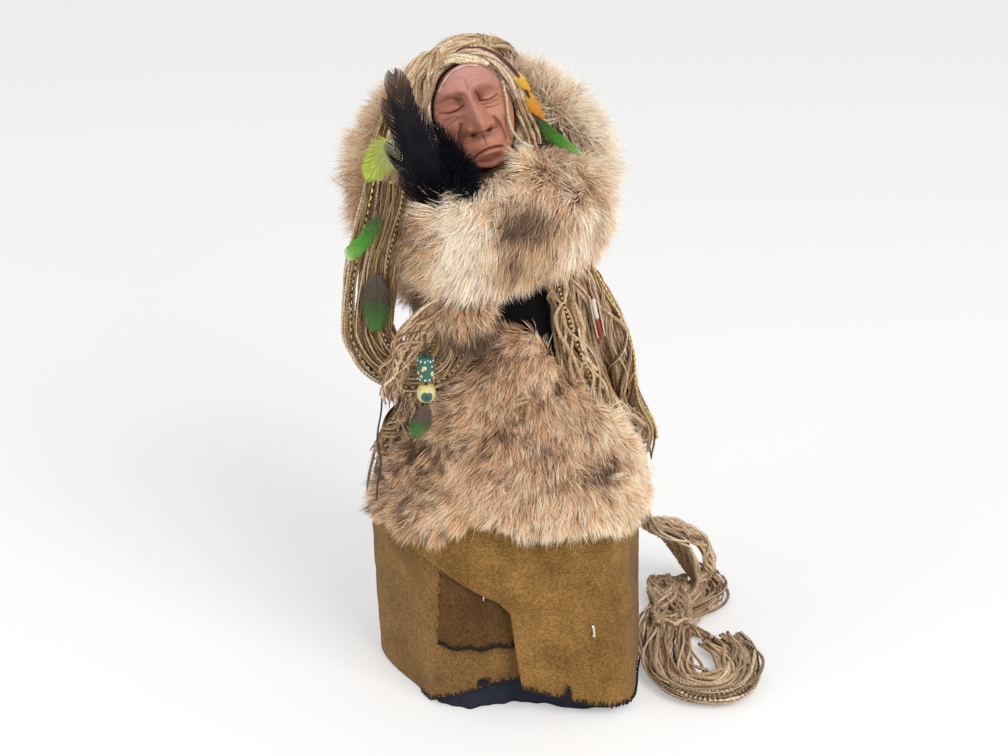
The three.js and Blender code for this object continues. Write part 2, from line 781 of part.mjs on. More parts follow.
function loweredSleeve() {
  return carve(loweredFill(0), capeFill(clearance), ruffFill(clearance),
    rod(lowered_wire_places, arm_wire_radius + clearance));
}

const lowered_wire_places = [
  point(-shoulder_half_width * 0.5, 0, lowered_places[0].z),
  ...lowered_places.slice(0, -1).map((p) => p.clone()),
  lowered_places.at(-1).clone().lerp(lowered_places.at(-2), 0.3),
];

// Feather fan in the raised hand
const fan_root = point(hand.x + sleeve_half_depth * 0.1, hand.y, hand.z);
const fan_neck = point(hand.x + sleeve_half_depth * 0.05, hand.y - sleeve_half_depth * 0.1,
  hand.z + sleeve_half_height * 0.75);
const fan_tip = point(-ruff_half_width * 0.86, -elbow_forward * 1.06, crown_height - head_half_height * 0.12);

function fanStick(grow = 0) {
  return loft([fan_root, fan_neck], { wide: 2 * arm_wire_radius + grow, sides: 8, steps: 2, across: y_axis,
    ends_share: 1 });
}

function fanFeather({ from, to, half_width_share, thick_share, steps = 10 }) {
  const length = from.distanceTo(to);
  const outline = (t) => length * half_width_share * Math.sin(Math.PI * mix(0.1, 0.93, t)) ** 0.6;
  return loft([from, to], { wide: outline, deep: (t) => outline(t) * thick_share, sides: 8, steps,
    across: y_axis, ends_share: 0.5 });
}

function fanTipFeather() {
  return fanFeather({ from: fan_neck.clone().lerp(fan_tip, 0.62), to: fan_tip, half_width_share: 0.34,
    thick_share: 0.4 });
}

function fanDown() {
  return fanFeather({ from: fan_neck.clone().lerp(fan_tip, 0.03), to: fan_neck.clone().lerp(fan_tip, 0.61),
    half_width_share: 0.36, thick_share: 0.55 });
}

// Hair places as shares of the hood's reach sideways and forward, and of the crown's height
const hairPlace = ([x, y, z]) => point(x * ruff_half_width, y * ruff_half_width, z * crown_height);

// Left hair: four strands fall from the temple, turn up under the lowered sleeve and hang as swags
const strand_count = 4;
const strand_fall_shares = [[-0.8, -0.22, 0.925], [-0.82, -0.3, 0.87], [-0.87, -0.44, 0.79],
  [-1.0, -0.53, 0.69], [-1.04, -0.56, 0.61]];

function leftStrand(index) {
  const aside = (index - (strand_count - 1) / 2) * strand_spacing;
  const fall = strand_fall_shares.map(hairPlace).map((place, i, all) => {
    const turn = 90 * degrees * (1 - smooth(i, 0, 2));
    return place.add(point(aside * Math.cos(turn), -aside * Math.sin(turn), 0));
  });
  const low = fall[fall.length - 1];
  const swag_middle = low.x - aside + (strand_count / 2 + 1.2) * strand_spacing;
  const reach = swag_middle - low.x;
  const swag = spread(swag_start_turn, 360, 7).map((turn) => {
    const forward = mix(low.y, -elbow_forward * 1.25, (turn - half_turn) / half_turn);
    return point(swag_middle + reach * Math.cos(turn * degrees), forward,
      low.z + reach * Math.sin(turn * degrees) * 1.04);
  });
  const end = point(swag_middle + reach, -elbow_forward * 1.25, low.z + strand_radius * (0.3 + 0.6 * index));
  const body = loft([...fall, ...swag, end], { wide: strand_radius, sides: 6, steps: 24, across: y_axis,
    lobes: 2, twist: 7, lobe_share: 0.3 });
  return carve(body, loweredFill(clearance), capeFill(clearance));
}

// Locks that lie on the clothes: turns in degrees, then heights as shares of the shoulder's height
function bodyLock({ turns, height_shares, stands = [0], radius, flat = 0.7, steps = 13, twist = 2 }) {
  const places = turns.map((turn, i) => {
    const z = shoulder_height * height_shares[i];
    const above_robe = smooth(z, robe_top, robe_top + robe_overlap / 2);
    const clothes = mix(flap_layer.outer, dress_layer.outer, above_robe);
    const stand = clothes + fur_clearance + radius + radius * stands[Math.min(i, stands.length - 1)];
    return onBody(turn * degrees, z, stand);
  });
  return loft(places, { wide: radius, deep: radius * flat, sides: 9, steps, across: y_axis,
    lobes: 3, twist, lobe_share: 0.3 });
}

const rightInnerLock = () => bodyLock({
  turns: [-50, -46, -39, -30, -20, -13],
  height_shares: [0.88, 0.8, 0.7, 0.62, 0.56, 0.52],
  radius: side_lock_radius,
});
const rightOuterLock = () => bodyLock({
  turns: [-26, -20, -14, -9, -6, -4],
  height_shares: [0.88, 0.8, 0.7, 0.6, 0.52, 0.44],
  stands: [0, 0.9, 1.6, 1.1, 0.2, -0.3],
  radius: side_lock_radius * 0.9,
});
const lowerLeftLock = () => bodyLock({
  turns: [219, 216, 212, 207],
  height_shares: [0.64, 0.59, 0.545, 0.5],
  stands: [0.8, 0.4, 0.1, 0.1],
  radius: side_lock_radius * 0.85,
  steps: 10,
});

// Back hair: a broad fall from the crown over the hood and down the back
function backHair() {
  const over = back_hair_half_thickness + fur_clearance;
  const hood_top = ruff_frame.elements[14] + ruff_half_height;
  const hood_back = ruff_depth - ruff_front;
  const middle = bodyMiddle(shoulder_height);
  const places = [
    point(middle, hood_back * 0.28, hood_top + over * 2.1),
    point(middle, hood_back * 0.8, hood_top * 0.985),
    point(middle, hood_back * 1.28, hood_top * 0.93),
    point(middle, hood_back * 1.62, hood_top * 0.83),
    point(middle * 0.7, hood_back * 1.43, chest_height),
    point(0, waist_half_depth + wrap_layer.outer + over * 2, waist_height),
    point(0, bodyRadius(90 * degrees, robe_top) + wrap_layer.outer + over * 1.4, robe_top),
    point(0, bodyRadius(90 * degrees, lap_height) + wrap_layer.outer + over, lap_height),
  ];
  const body = loft(places, { wide: back_hair_half_thickness,
    deep: (t) => back_hair_half_width * mix(0.8, 1.15, t), sides: 18, steps: 14, across: x_axis, lobes: 6,
    lobe_share: 0.18, ends_share: 0.6 });
  return carve(body, ruffFill(fur_clearance), hairFill(fur_clearance), capeFill(clearance));
}

// Hair that trails from under the right side of the apron and lies in a loop on the floor
const trail_count = 3;
const trail_route_shares = [
  [1.193, -0.094, 0.34], [1.193, 0.0, 0.27], [1.245, 0.188, 0.21], [1.444, 0.481, 0.167],
  [1.58, 0.743, 0.124], [1.674, 0.952, 0.075], [1.768, 1.078, 0.032], [1.862, 1.046, 0.012],
  [1.862, 0.889, 0.012], [1.758, 0.732, 0.012], [1.611, 0.586, 0.012], [1.496, 0.366, 0.012],
  [1.465, 0.105, 0.012], [1.454, -0.188, 0.012], [1.506, -0.502, 0.012], [1.663, -0.711, 0.012],
  [1.894, -0.732, 0.012], [2.05, -0.523, 0.012], [2.071, -0.188, 0.012], [1.946, 0.052, 0.012],
];

const trailPlace = ([x, y, z]) => point(x * skirt_half_width, y * skirt_half_width, z * crown_height);

function trailStrand(index) {
  const aside = index - (trail_count - 1) / 2;
  const route = new THREE.CatmullRomCurve3(trail_route_shares.map(trailPlace), false, 'centripetal');
  const places = spread(0, 1, 20).map((t) => {
    const ahead = route.getTangent(t);
    const side = ahead.clone().cross(z_axis).addScaledVector(y_axis, -(ahead.z ** 2)).normalize();
    const gather = mix(0.97, 1.08, t);
    const place = route.getPoint(t).addScaledVector(side, aside * trail_spacing * gather);
    place.z = Math.max(place.z, trail_radius * 0.75);
    return place;
  });
  return loft(places, { wide: trail_radius, sides: 6, steps: 34, across: z_axis,
    lobes: 2, twist: 8, lobe_share: 0.25, floor: 0 });
}

// A loose dark cord that hangs from the left strands down the robe
function looseCord() {
  const places = [[-0.928, -0.662, 0.52], [-0.955, -0.7, 0.49], [-0.97, -0.73, 0.42], [-1.0, -0.72, 0.34]];
  return rod(places.map(hairPlace), loose_cord_radius, 6);
}

// A feather with its quill, from its root along a way, flat to the viewer
function feather({ root, tip, half_width, bend = 0 }) {
  const middle = root.clone().lerp(tip, 0.5);
  middle.x += bend;
  const spreadOut = (t) => Math.sin(Math.PI * smooth(t, 0.12, 1.02)) ** 0.75;
  return loft([root, middle, tip], {
    wide: (t) => mix(quill_radius, half_width, spreadOut(t)),
    deep: (t) => mix(quill_radius, feather_thickness / 2, smooth(t, 0, 0.3)),
    sides: 6, steps: 8, across: y_axis, ends_share: 0.45 });
}

// Left feathers, tied into the strands: root and tip as hair places, half width and colour
const left_feathers = {
  fluff_feather: [[-0.774, -0.418, 0.886], [-1.05, -0.6, 0.82], fluff_half_width, 0xd9e07a],
  green_feather: [[-0.905, -0.5, 0.784], [-1.19, -0.6, 0.715], feather_half_width, 0x3f8f2a],
  dark_feather: [[-0.968, -0.583, 0.69], [-0.975, -0.665, 0.605], feather_half_width * 1.15, 0x2f4a2c],
};

// Right feathers, tied to the hair roll: root as a turn round the face, tip from the head middle in shares
// of the head's half sizes, half width and colour
const headPlace = ([x, y, z]) => inHead(0, 0, 0).add(
  point(x * head_half_width, y * head_half_depth, z * head_half_height));
const right_feathers = {
  yellow_feather_upper: [26, [1.26, -0.48, 0.53], feather_half_width * 0.55, 0xe9b51c],
  yellow_feather_lower: [8, [1.56, -0.7, 0.11], feather_half_width * 0.62, 0xe2761b],
  green_feather_right: [-12, [2.33, -0.815, -0.45], feather_half_width * 0.75, 0x2f8a34],
};

// Bead drop: a cord with a tube bead, a round bead and a feather below
const drop_top = point(-chest_half_width * 0.9, -elbow_forward * 1.5, waist_height + tube_bead_length * 0.5);
const tube_bead_middle = drop_top.z - tube_bead_length * 1.15;
const round_bead_middle = tube_bead_middle - tube_bead_length / 2 - round_bead_radius * 1.45;
const drop_bottom = round_bead_middle - round_bead_radius * 1.3;

// How square a bead's outline is: 2 is a ball, more is nearer to a cylinder
const tube_bead_roundness = 8;
const round_bead_roundness = 2.4;

function bead(radius, half_length, middle, roundness) {
  const bore = bead_cord_radius + bead_bore_gap;
  const outside = spread(-1, 1, 7).map((t) => {
    const swell = Math.sqrt(Math.max(0, 1 - Math.abs(t) ** roundness));
    return [mix(bore + quill_radius, radius, swell), half_length * t];
  });
  const sides = 12;
  const ring = (r, z) => Array.from({ length: sides }, (_, i) => point(
    drop_top.x + r * Math.cos(i * full_turn / sides),
    drop_top.y + r * Math.sin(i * full_turn / sides), middle + z));
  const rings = [...outside.map(([r, z]) => ring(r, z)), ring(bore, half_length), ring(bore, -half_length)];
  return joinRings(rings, { wraps: true });
}

const tubeBead = () => bead(tube_bead_radius, tube_bead_length / 2, tube_bead_middle, tube_bead_roundness);
const roundBead = () => bead(round_bead_radius, round_bead_radius, round_bead_middle, round_bead_roundness);

function beadCord() {
  const plumb = (z) => point(drop_top.x, drop_top.y, z);
  const knot = drop_top.clone().add(point(0, tube_bead_length * 0.71, tube_bead_length * 0.3));
  const bead_top = plumb(tube_bead_middle + tube_bead_length * 0.6);
  const places = [knot, plumb(drop_top.z), bead_top, plumb(tube_bead_middle), plumb(drop_bottom)];
  return rod(places, bead_cord_radius, 8);
}

function beadFeather() {
  const root = point(drop_top.x, drop_top.y, drop_bottom - clearance);
  const tip = point(root.x - round_bead_radius * 1.4, root.y, root.z - tube_bead_length * 1.4);
  return feather({ root, tip, half_width: round_bead_radius * 1.1, bend: -quill_radius });
}

// Red and white quill that hangs in front of the outer lock on the right
function sideQuill() {
  const stand_off = dress_layer.outer + fur_clearance + side_lock_radius * 1.6;
  return rod([onBody(-27.1 * degrees, waist_height + tube_bead_length * 0.8, stand_off),
    onBody(-24 * degrees, waist_height - tube_bead_length * 0.9, stand_off)], 2 * quill_radius, 6);
}

// The stuffed core in two pieces, hips and torso
function hipPadding() {
  return carve(bodyFill(block_height + clearance, waist_height, () => 0), dowelSolid(clearance));
}

function torsoPadding() {
  const stuffing = bodyFill(waist_height + clearance, neck_height, () => 0);
  return carve(stuffing, dowelSolid(clearance), ...wire_rooms, neckPost(clearance));
}

// The doll's pieces
const doll = new THREE.Group();
const steel = { roughness: 0.4, metalness: 1 };
const glossy = { roughness: 0.2 };

function add(name, geometry, color, { roughness = 0.9, metalness = 0 } = {}) {
  const mesh = new THREE.Mesh(geometry, new THREE.MeshStandardMaterial({ color, roughness, metalness }));
  mesh.name = name;
  doll.add(mesh);
}

const wire_rooms = [upper_wire_places, lowered_wire_places].map(
  (places) => rod(places, arm_wire_radius + clearance));

add('support_block', supportBlock(), 0xb98f5e, { roughness: 0.7 });
add('spine_dowel', dowelSolid(), 0xc9a673, { roughness: 0.65 });
add('hip_padding', hipPadding(), 0xe8e2d2);
add('torso_padding', torsoPadding(), 0xe8e2d2);
add('neck_post', neckPost(), 0xc9a673, { roughness: 0.65 });
add('dress', carve(dress(), ...wire_rooms), 0x17161a);
add('robe_lining', robeLining(), 0x1d2230);
add('robe_wrap', robeWrap(), 0x8a6a2e);
add('robe_inner_panel', robeInnerPanel(), 0x8f6e30);
add('robe_front_flap', robeFrontFlap(), 0x93712f);
add('fur_apron', furApron(), 0xb08a62);
add('fur_cape', carve(furCape(), ...wire_rooms), 0xc2a27e);
add('fur_ruff', furRuff(), 0xcbb395);
add('raised_sleeve_upper', upperSleeve(), 0xc2a27e);
add('raised_sleeve_forearm', forearmSleeve(), 0xd2b796);
add('lowered_sleeve', loweredSleeve(), 0xbf9a72);
add('raised_arm_wire', rod(upper_wire_places, arm_wire_radius), 0x8b8b86, steel);
add('forearm_wire', rod(forearm_wire_places, arm_wire_radius), 0x8b8b86, steel);
add('lowered_arm_wire', rod(lowered_wire_places, arm_wire_radius), 0x8b8b86, steel);
add('head_core', carve(headFill(0), neckFill(clearance), neckPost(clearance)), 0xd8d2c4);
add('face_mask', faceMask(), 0x8a4a33, { roughness: 0.7 });
add('hair_cap', hairCap(), 0xa98a58);
add('hair_roll', hairRoll(), 0xc0a268);
for (let i = 0; i < strand_count; i++) add(`left_strand_${i + 1}`, leftStrand(i), 0xb2935c);
add('lower_left_lock', lowerLeftLock(), 0xa98a58);
add('right_inner_lock', rightInnerLock(), 0xa98a58);
add('right_outer_lock', rightOuterLock(), 0xb2935c);
add('back_hair', backHair(), 0xa98a58);
for (let i = 0; i < trail_count; i++) add(`trailing_strand_${i + 1}`, trailStrand(i), 0x9c8058);
add('loose_cord', looseCord(), 0x2c2622, { roughness: 0.6 });
add('fan_stick', fanStick(), 0x4a3424, { roughness: 0.6 });
add('fan_tip_feather', fanTipFeather(), 0x241c1a);
add('fan_down', fanDown(), 0x121013);
for (const [name, [root, tip, half_width, colour]] of Object.entries(left_feathers)) {
  const shape = feather({ root: hairPlace(root), tip: hairPlace(tip), half_width });
  add(name, shape, colour, { roughness: 0.6 });
}
for (const [name, [turn, tip, half_width, colour]] of Object.entries(right_feathers)) {
  const shape = feather({ root: besideFace(turn, 0.7, 0.7), tip: headPlace(tip), half_width });
  add(name, shape, colour, { roughness: 0.6 });
}
add('bead_cord', beadCord(), 0x2c2622, { roughness: 0.6 });
add('tube_bead', tubeBead(), 0x1f6f66, glossy);
add('round_bead', roundBead(), 0x2d7a5a, glossy);
add('bead_feather', beadFeather(), 0x3f7a2a, { roughness: 0.6 });
add('side_quill', sideQuill(), 0xa03a30, { roughness: 0.6 });

export default doll;
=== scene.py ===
# Looks of the fur-clad elder doll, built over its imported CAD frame.
# Shapes are worked out in millimetres in the row frame and turned into metres when a mesh is made.

import math

import bpy
import numpy as np
from mathutils import Matrix, Vector
from mathutils.bvhtree import BVHTree
from mathutils.kdtree import KDTree


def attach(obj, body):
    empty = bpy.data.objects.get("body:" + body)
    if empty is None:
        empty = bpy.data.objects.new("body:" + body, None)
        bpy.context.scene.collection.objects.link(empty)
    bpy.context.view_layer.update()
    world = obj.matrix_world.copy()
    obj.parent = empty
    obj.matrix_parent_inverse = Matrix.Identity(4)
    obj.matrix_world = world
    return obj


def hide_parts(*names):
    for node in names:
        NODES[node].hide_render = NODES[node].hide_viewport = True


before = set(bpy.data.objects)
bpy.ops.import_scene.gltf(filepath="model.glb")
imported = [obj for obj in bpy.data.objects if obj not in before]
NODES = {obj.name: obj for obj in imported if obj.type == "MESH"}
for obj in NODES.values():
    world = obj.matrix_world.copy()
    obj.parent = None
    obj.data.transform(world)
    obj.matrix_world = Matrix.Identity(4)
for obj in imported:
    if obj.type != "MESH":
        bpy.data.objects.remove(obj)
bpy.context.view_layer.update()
MM = 0.001


CAMERA_SPOT = (0.001, -1.1782, 0.7254)
CAMERA_AIM = (0.001, 0.0, 0.176)


# Camera at the photograph's angle: 25 degrees above, 1.3 m from the doll's middle
def make_camera():
    data = bpy.data.cameras.new("camera")
    data.sensor_width = 36.0
    data.lens = 83.96
    cam = bpy.data.objects.new("camera", data)
    bpy.context.scene.collection.objects.link(cam)
    cam.location = CAMERA_SPOT
    aim = Vector(CAMERA_AIM) - cam.location
    cam.rotation_euler = aim.to_track_quat("-Z", "Y").to_euler()
    bpy.context.scene.camera = cam


# Node materials
def new_material(name):
    mat = bpy.data.materials.new(name)
    mat.use_nodes = True
    tree = mat.node_tree
    tree.nodes.clear()
    out = tree.nodes.new("ShaderNodeOutputMaterial")
    shader = tree.nodes.new("ShaderNodeBsdfPrincipled")
    tree.links.new(shader.outputs[0], out.inputs[0])
    return mat, tree, shader


def put(tree, kind, inputs=None, **props):
    node = tree.nodes.new(kind)
    for key, value in props.items():
        setattr(node, key, value)
    for key, value in (inputs or {}).items():
        if isinstance(value, bpy.types.NodeSocket):
            tree.links.new(value, node.inputs[key])
        else:
            node.inputs[key].default_value = value
    return node


def ramp(tree, factor, stops):
    node = tree.nodes.new("ShaderNodeValToRGB")
    node.color_ramp.interpolation = "LINEAR"
    elements = node.color_ramp.elements
    while len(elements) > 1:
        elements.remove(elements[-1])
    elements[0].position = stops[0][0]
    elements[0].color = (*stops[0][1], 1)
    for place, colour in stops[1:]:
        e = elements.new(place)
        e.color = (*colour, 1)
    tree.links.new(factor, node.inputs[0])
    return node.outputs[0]


def mix_colour(tree, factor, a, b, blend="MIX"):
    node = put(tree, "ShaderNodeMix", data_type="RGBA", blend_type=blend)
    for index, value in ((0, factor), (6, a), (7, b)):
        if isinstance(value, bpy.types.NodeSocket):
            tree.links.new(value, node.inputs[index])
        elif isinstance(value, (int, float)):
            node.inputs[index].default_value = value
        else:
            node.inputs[index].default_value = (*value, 1)
    return node.outputs[2]


def object_noise(tree, scale, detail, rough, stretch=None):
    place = put(tree, "ShaderNodeTexCoord").outputs["Object"]
    if stretch:
        mapping = put(tree, "ShaderNodeMapping", {"Vector": place})
        mapping.inputs["Scale"].default_value = stretch
        place = mapping.outputs[0]
    noise = put(tree, "ShaderNodeTexNoise", {"Vector": place, "Scale": scale, "Detail": detail, "Roughness": rough})
    return noise.outputs[0]


def add_bump(tree, shader, height, strength, distance):
    bump = put(tree, "ShaderNodeBump", {"Height": height, "Strength": strength, "Distance": distance})
    tree.links.new(bump.outputs[0], shader.inputs["Normal"])


# The colour and the gloss of a surface
def surface(tree, shader, colour, rough, spec):
    tree.links.new(colour, shader.inputs["Base Color"])
    shader.inputs["Roughness"].default_value = rough
    shader.inputs["Specular IOR Level"].default_value = spec


# The map's two directions: across it the tone of a hair, up it the place along the hair
def map_parts(tree):
    uv = put(tree, "ShaderNodeUVMap", uv_map="OFBake").outputs[0]
    return put(tree, "ShaderNodeSeparateXYZ", {0: uv}).outputs


# Black below one value of a factor and white above another
def threshold(tree, factor, low, high):
    return ramp(tree, factor, [(low, (0, 0, 0)), (high, (1, 1, 1))])


# Hair of a pelt: across the map from cream to tan to dark, up the map from root to tip. The darker roots are partly the
# undercoat's own colour and partly painted shade between the hairs
def fur_material(name, cream, tan, dark):
    mat, tree, shader = new_material(name)
    tone, along = map_parts(tree)[:2]
    light, middle, deep = (ramp(tree, along, stops) for stops in (cream, tan, dark))
    low = put(tree, "ShaderNodeMapRange", {"Value": tone, "From Min": 0.0, "From Max": 0.5})
    high = put(tree, "ShaderNodeMapRange", {"Value": tone, "From Min": 0.5, "From Max": 1.0})
    colour = mix_colour(tree, low.outputs[0], light, middle)
    surface(tree, shader, mix_colour(tree, high.outputs[0], colour, deep), 0.62, 0.22)
    return mat


def felt_material(name, light, dark, fleck):
    mat, tree, shader = new_material(name)
    cloud = object_noise(tree, 34, 5, 0.65)
    grain = object_noise(tree, 1100, 3, 0.7)
    fibre = object_noise(tree, 620, 4, 0.75, (1.0, 1.0, 1.8))
    colour = mix_colour(tree, threshold(tree, cloud, 0.34, 0.68), dark, light)
    spots = threshold(tree, fibre, 0.42, 0.58)
    darker = mix_colour(tree, 1.0, colour, (0.52, 0.48, 0.42), "MULTIPLY")
    colour = mix_colour(tree, spots, darker, colour)
    flecks = threshold(tree, grain, 0.60, 0.72)
    colour = mix_colour(tree, mix_colour(tree, 0.35, (0, 0, 0), flecks), colour, fleck)
    surface(tree, shader, colour, 0.95, 0.1)
    shader.inputs["Sheen Weight"].default_value = 0.05
    shader.inputs["Sheen Roughness"].default_value = 0.6
    add_bump(tree, shader, mix_colour(tree, 0.5, fibre, grain), 0.7, 0.0006)
    return mat


def cloth_material(name, colour_a, colour_b, threads=900, rough=0.9):
    mat, tree, shader = new_material(name)
    place = put(tree, "ShaderNodeTexCoord").outputs["Object"]
    wave = {"Vector": place, "Scale": threads, "Distortion": 1.5, "Detail": 1.0}
    warp, weft = (put(tree, "ShaderNodeTexWave", wave, bands_direction=way).outputs[1] for way in "ZX")
    weave = mix_colour(tree, 0.5, warp, weft)
    noise = object_noise(tree, 180, 4, 0.7)
    colour = mix_colour(tree, noise, colour_a, colour_b)
    colour = mix_colour(tree, 0.35, colour, mix_colour(tree, 1.0, colour, weave, "MULTIPLY"))
    surface(tree, shader, colour, rough, 0.15)
    add_bump(tree, shader, mix_colour(tree, 0.5, weave, noise), 0.5, 0.0003)
    return mat


def yarn_material(name, stops, rough=0.85):
    mat, tree, shader = new_material(name)
    streak = object_noise(tree, 700, 3, 0.7)
    shade = ramp(tree, streak, [(0.3, (0.55, 0.52, 0.48)), (0.7, (1.15, 1.12, 1.05))])
    colour = mix_colour(tree, 1.0, ramp(tree, map_parts(tree)[0], stops), shade, "MULTIPLY")
    surface(tree, shader, colour, rough, 0.2)
    add_bump(tree, shader, streak, 0.5, 0.0003)
    return mat


def plain_material(name, colour, rough, spec, metal=0.0, scale=300, depth=0.0002, vary=0.35):
    mat, tree, shader = new_material(name)
    noise = object_noise(tree, scale, 4, 0.6)
    darker = tuple(c * (1 - vary) for c in colour)
    lighter = tuple(min(1, c * (1 + vary * 0.5)) for c in colour)
    surface(tree, shader, mix_colour(tree, noise, darker, lighter), rough, spec)
    shader.inputs["Metallic"].default_value = metal
    add_bump(tree, shader, noise, 0.4, depth)
    return mat


def wood_material(name, light, dark):
    mat, tree, shader = new_material(name)
    grain = object_noise(tree, 60, 5, 0.65, (1.0, 9.0, 9.0))
    fine = object_noise(tree, 500, 3, 0.6, (1.0, 6.0, 6.0))
    colour = mix_colour(tree, threshold(tree, grain, 0.35, 0.65), dark, light)
    colour = mix_colour(tree, 0.25, colour, mix_colour(tree, 1.0, colour, fine, "MULTIPLY"))
    surface(tree, shader, colour, 0.6, 0.5)
    add_bump(tree, shader, fine, 0.3, 0.0002)
    return mat


def clay_material(name):
    mat, tree, shader = new_material(name)
    painted_crease_shade, tint, shade = (put(tree, "ShaderNodeAttribute", attribute_name=key).outputs["Fac"]
                           for key in ("painted_crease_shade", "tint", "shade"))
    cloud = object_noise(tree, 120, 4, 0.6)
    grain = object_noise(tree, 1600, 3, 0.7)
    colour = mix_colour(tree, cloud, (0.36, 0.134, 0.080), (0.53, 0.225, 0.142))
    # Pink tint from the face: partly the clay's own pink tone, partly painted highlight on the top of the forehead, the
    # right cheek and the ridge of the nose
    colour = mix_colour(tree, tint, colour, (0.47, 0.235, 0.195))
    blotch = threshold(tree, object_noise(tree, 320, 4, 0.7), 0.45, 0.75)
    colour = mix_colour(tree, mix_colour(tree, 0.75, blotch, (0, 0, 0)), colour, (0.24, 0.075, 0.045))
    colour = mix_colour(tree, shade, colour, (0.13, 0.042, 0.028))
    # Near-black painted shade in the face's creases, eye and mouth slits and nostrils
    surface(tree, shader, mix_colour(tree, painted_crease_shade, colour, (0.028, 0.012, 0.010)), 0.55, 0.35)
    add_bump(tree, shader, mix_colour(tree, 0.5, grain, cloud), 0.35, 0.0003)
    return mat


def feather_material(name, stops, rough=0.5, spec=0.3):
    mat, tree, shader = new_material(name)
    tone, along = map_parts(tree)[:2]
    dim = ramp(tree, tone, [(0.0, (0.7, 0.7, 0.7)), (1.0, (1.15, 1.15, 1.15))])
    surface(tree, shader, mix_colour(tree, 1.0, ramp(tree, along, stops), dim, "MULTIPLY"), rough, spec)
    return mat


# Colours from root to tip: the dark roots are partly the undercoat's colour, partly painted shade between the hairs
CREAM = [(0.0, (0.48, 0.34, 0.22)), (0.35, (0.88, 0.72, 0.53)), (0.75, (0.97, 0.88, 0.72)), (1.0, (0.98, 0.95, 0.87))]
TAN = [(0.0, (0.22, 0.11, 0.05)), (0.35, (0.64, 0.35, 0.17)), (0.7, (0.84, 0.54, 0.30)), (1.0, (0.92, 0.73, 0.51))]
DARK = [(0.0, (0.12, 0.065, 0.04)), (0.4, (0.24, 0.13, 0.08)), (0.7, (0.10, 0.055, 0.036)), (1.0, (0.05, 0.033, 0.026))]
APRON_CREAM = [(0.0, (0.24, 0.14, 0.08)), (0.3, (0.70, 0.47, 0.27)), (0.7, (0.96, 0.80, 0.57)),
               (1.0, (0.98, 0.92, 0.79))]
APRON_TAN = [(0.0, (0.085, 0.042, 0.024)), (0.3, (0.38, 0.18, 0.09)), (0.65, (0.80, 0.43, 0.21)),
             (1.0, (0.95, 0.70, 0.45))]
APRON_DARK = [(0.0, (0.06, 0.035, 0.025)), (0.4, (0.15, 0.08, 0.05)), (0.75, (0.055, 0.034, 0.026)),
              (1.0, (0.03, 0.02, 0.018))]
STRAW = [(0.0, (0.34, 0.21, 0.115)), (0.35, (0.72, 0.52, 0.33)), (0.7, (0.94, 0.76, 0.55)), (1.0, (0.98, 0.90, 0.76))]
YARNS = [(0.0, (0.10, 0.055, 0.032)), (0.3, (0.30, 0.175, 0.10)), (0.6, (0.55, 0.375, 0.225)),
         (0.85, (0.76, 0.58, 0.385)), (1.0, (0.90, 0.77, 0.57))]
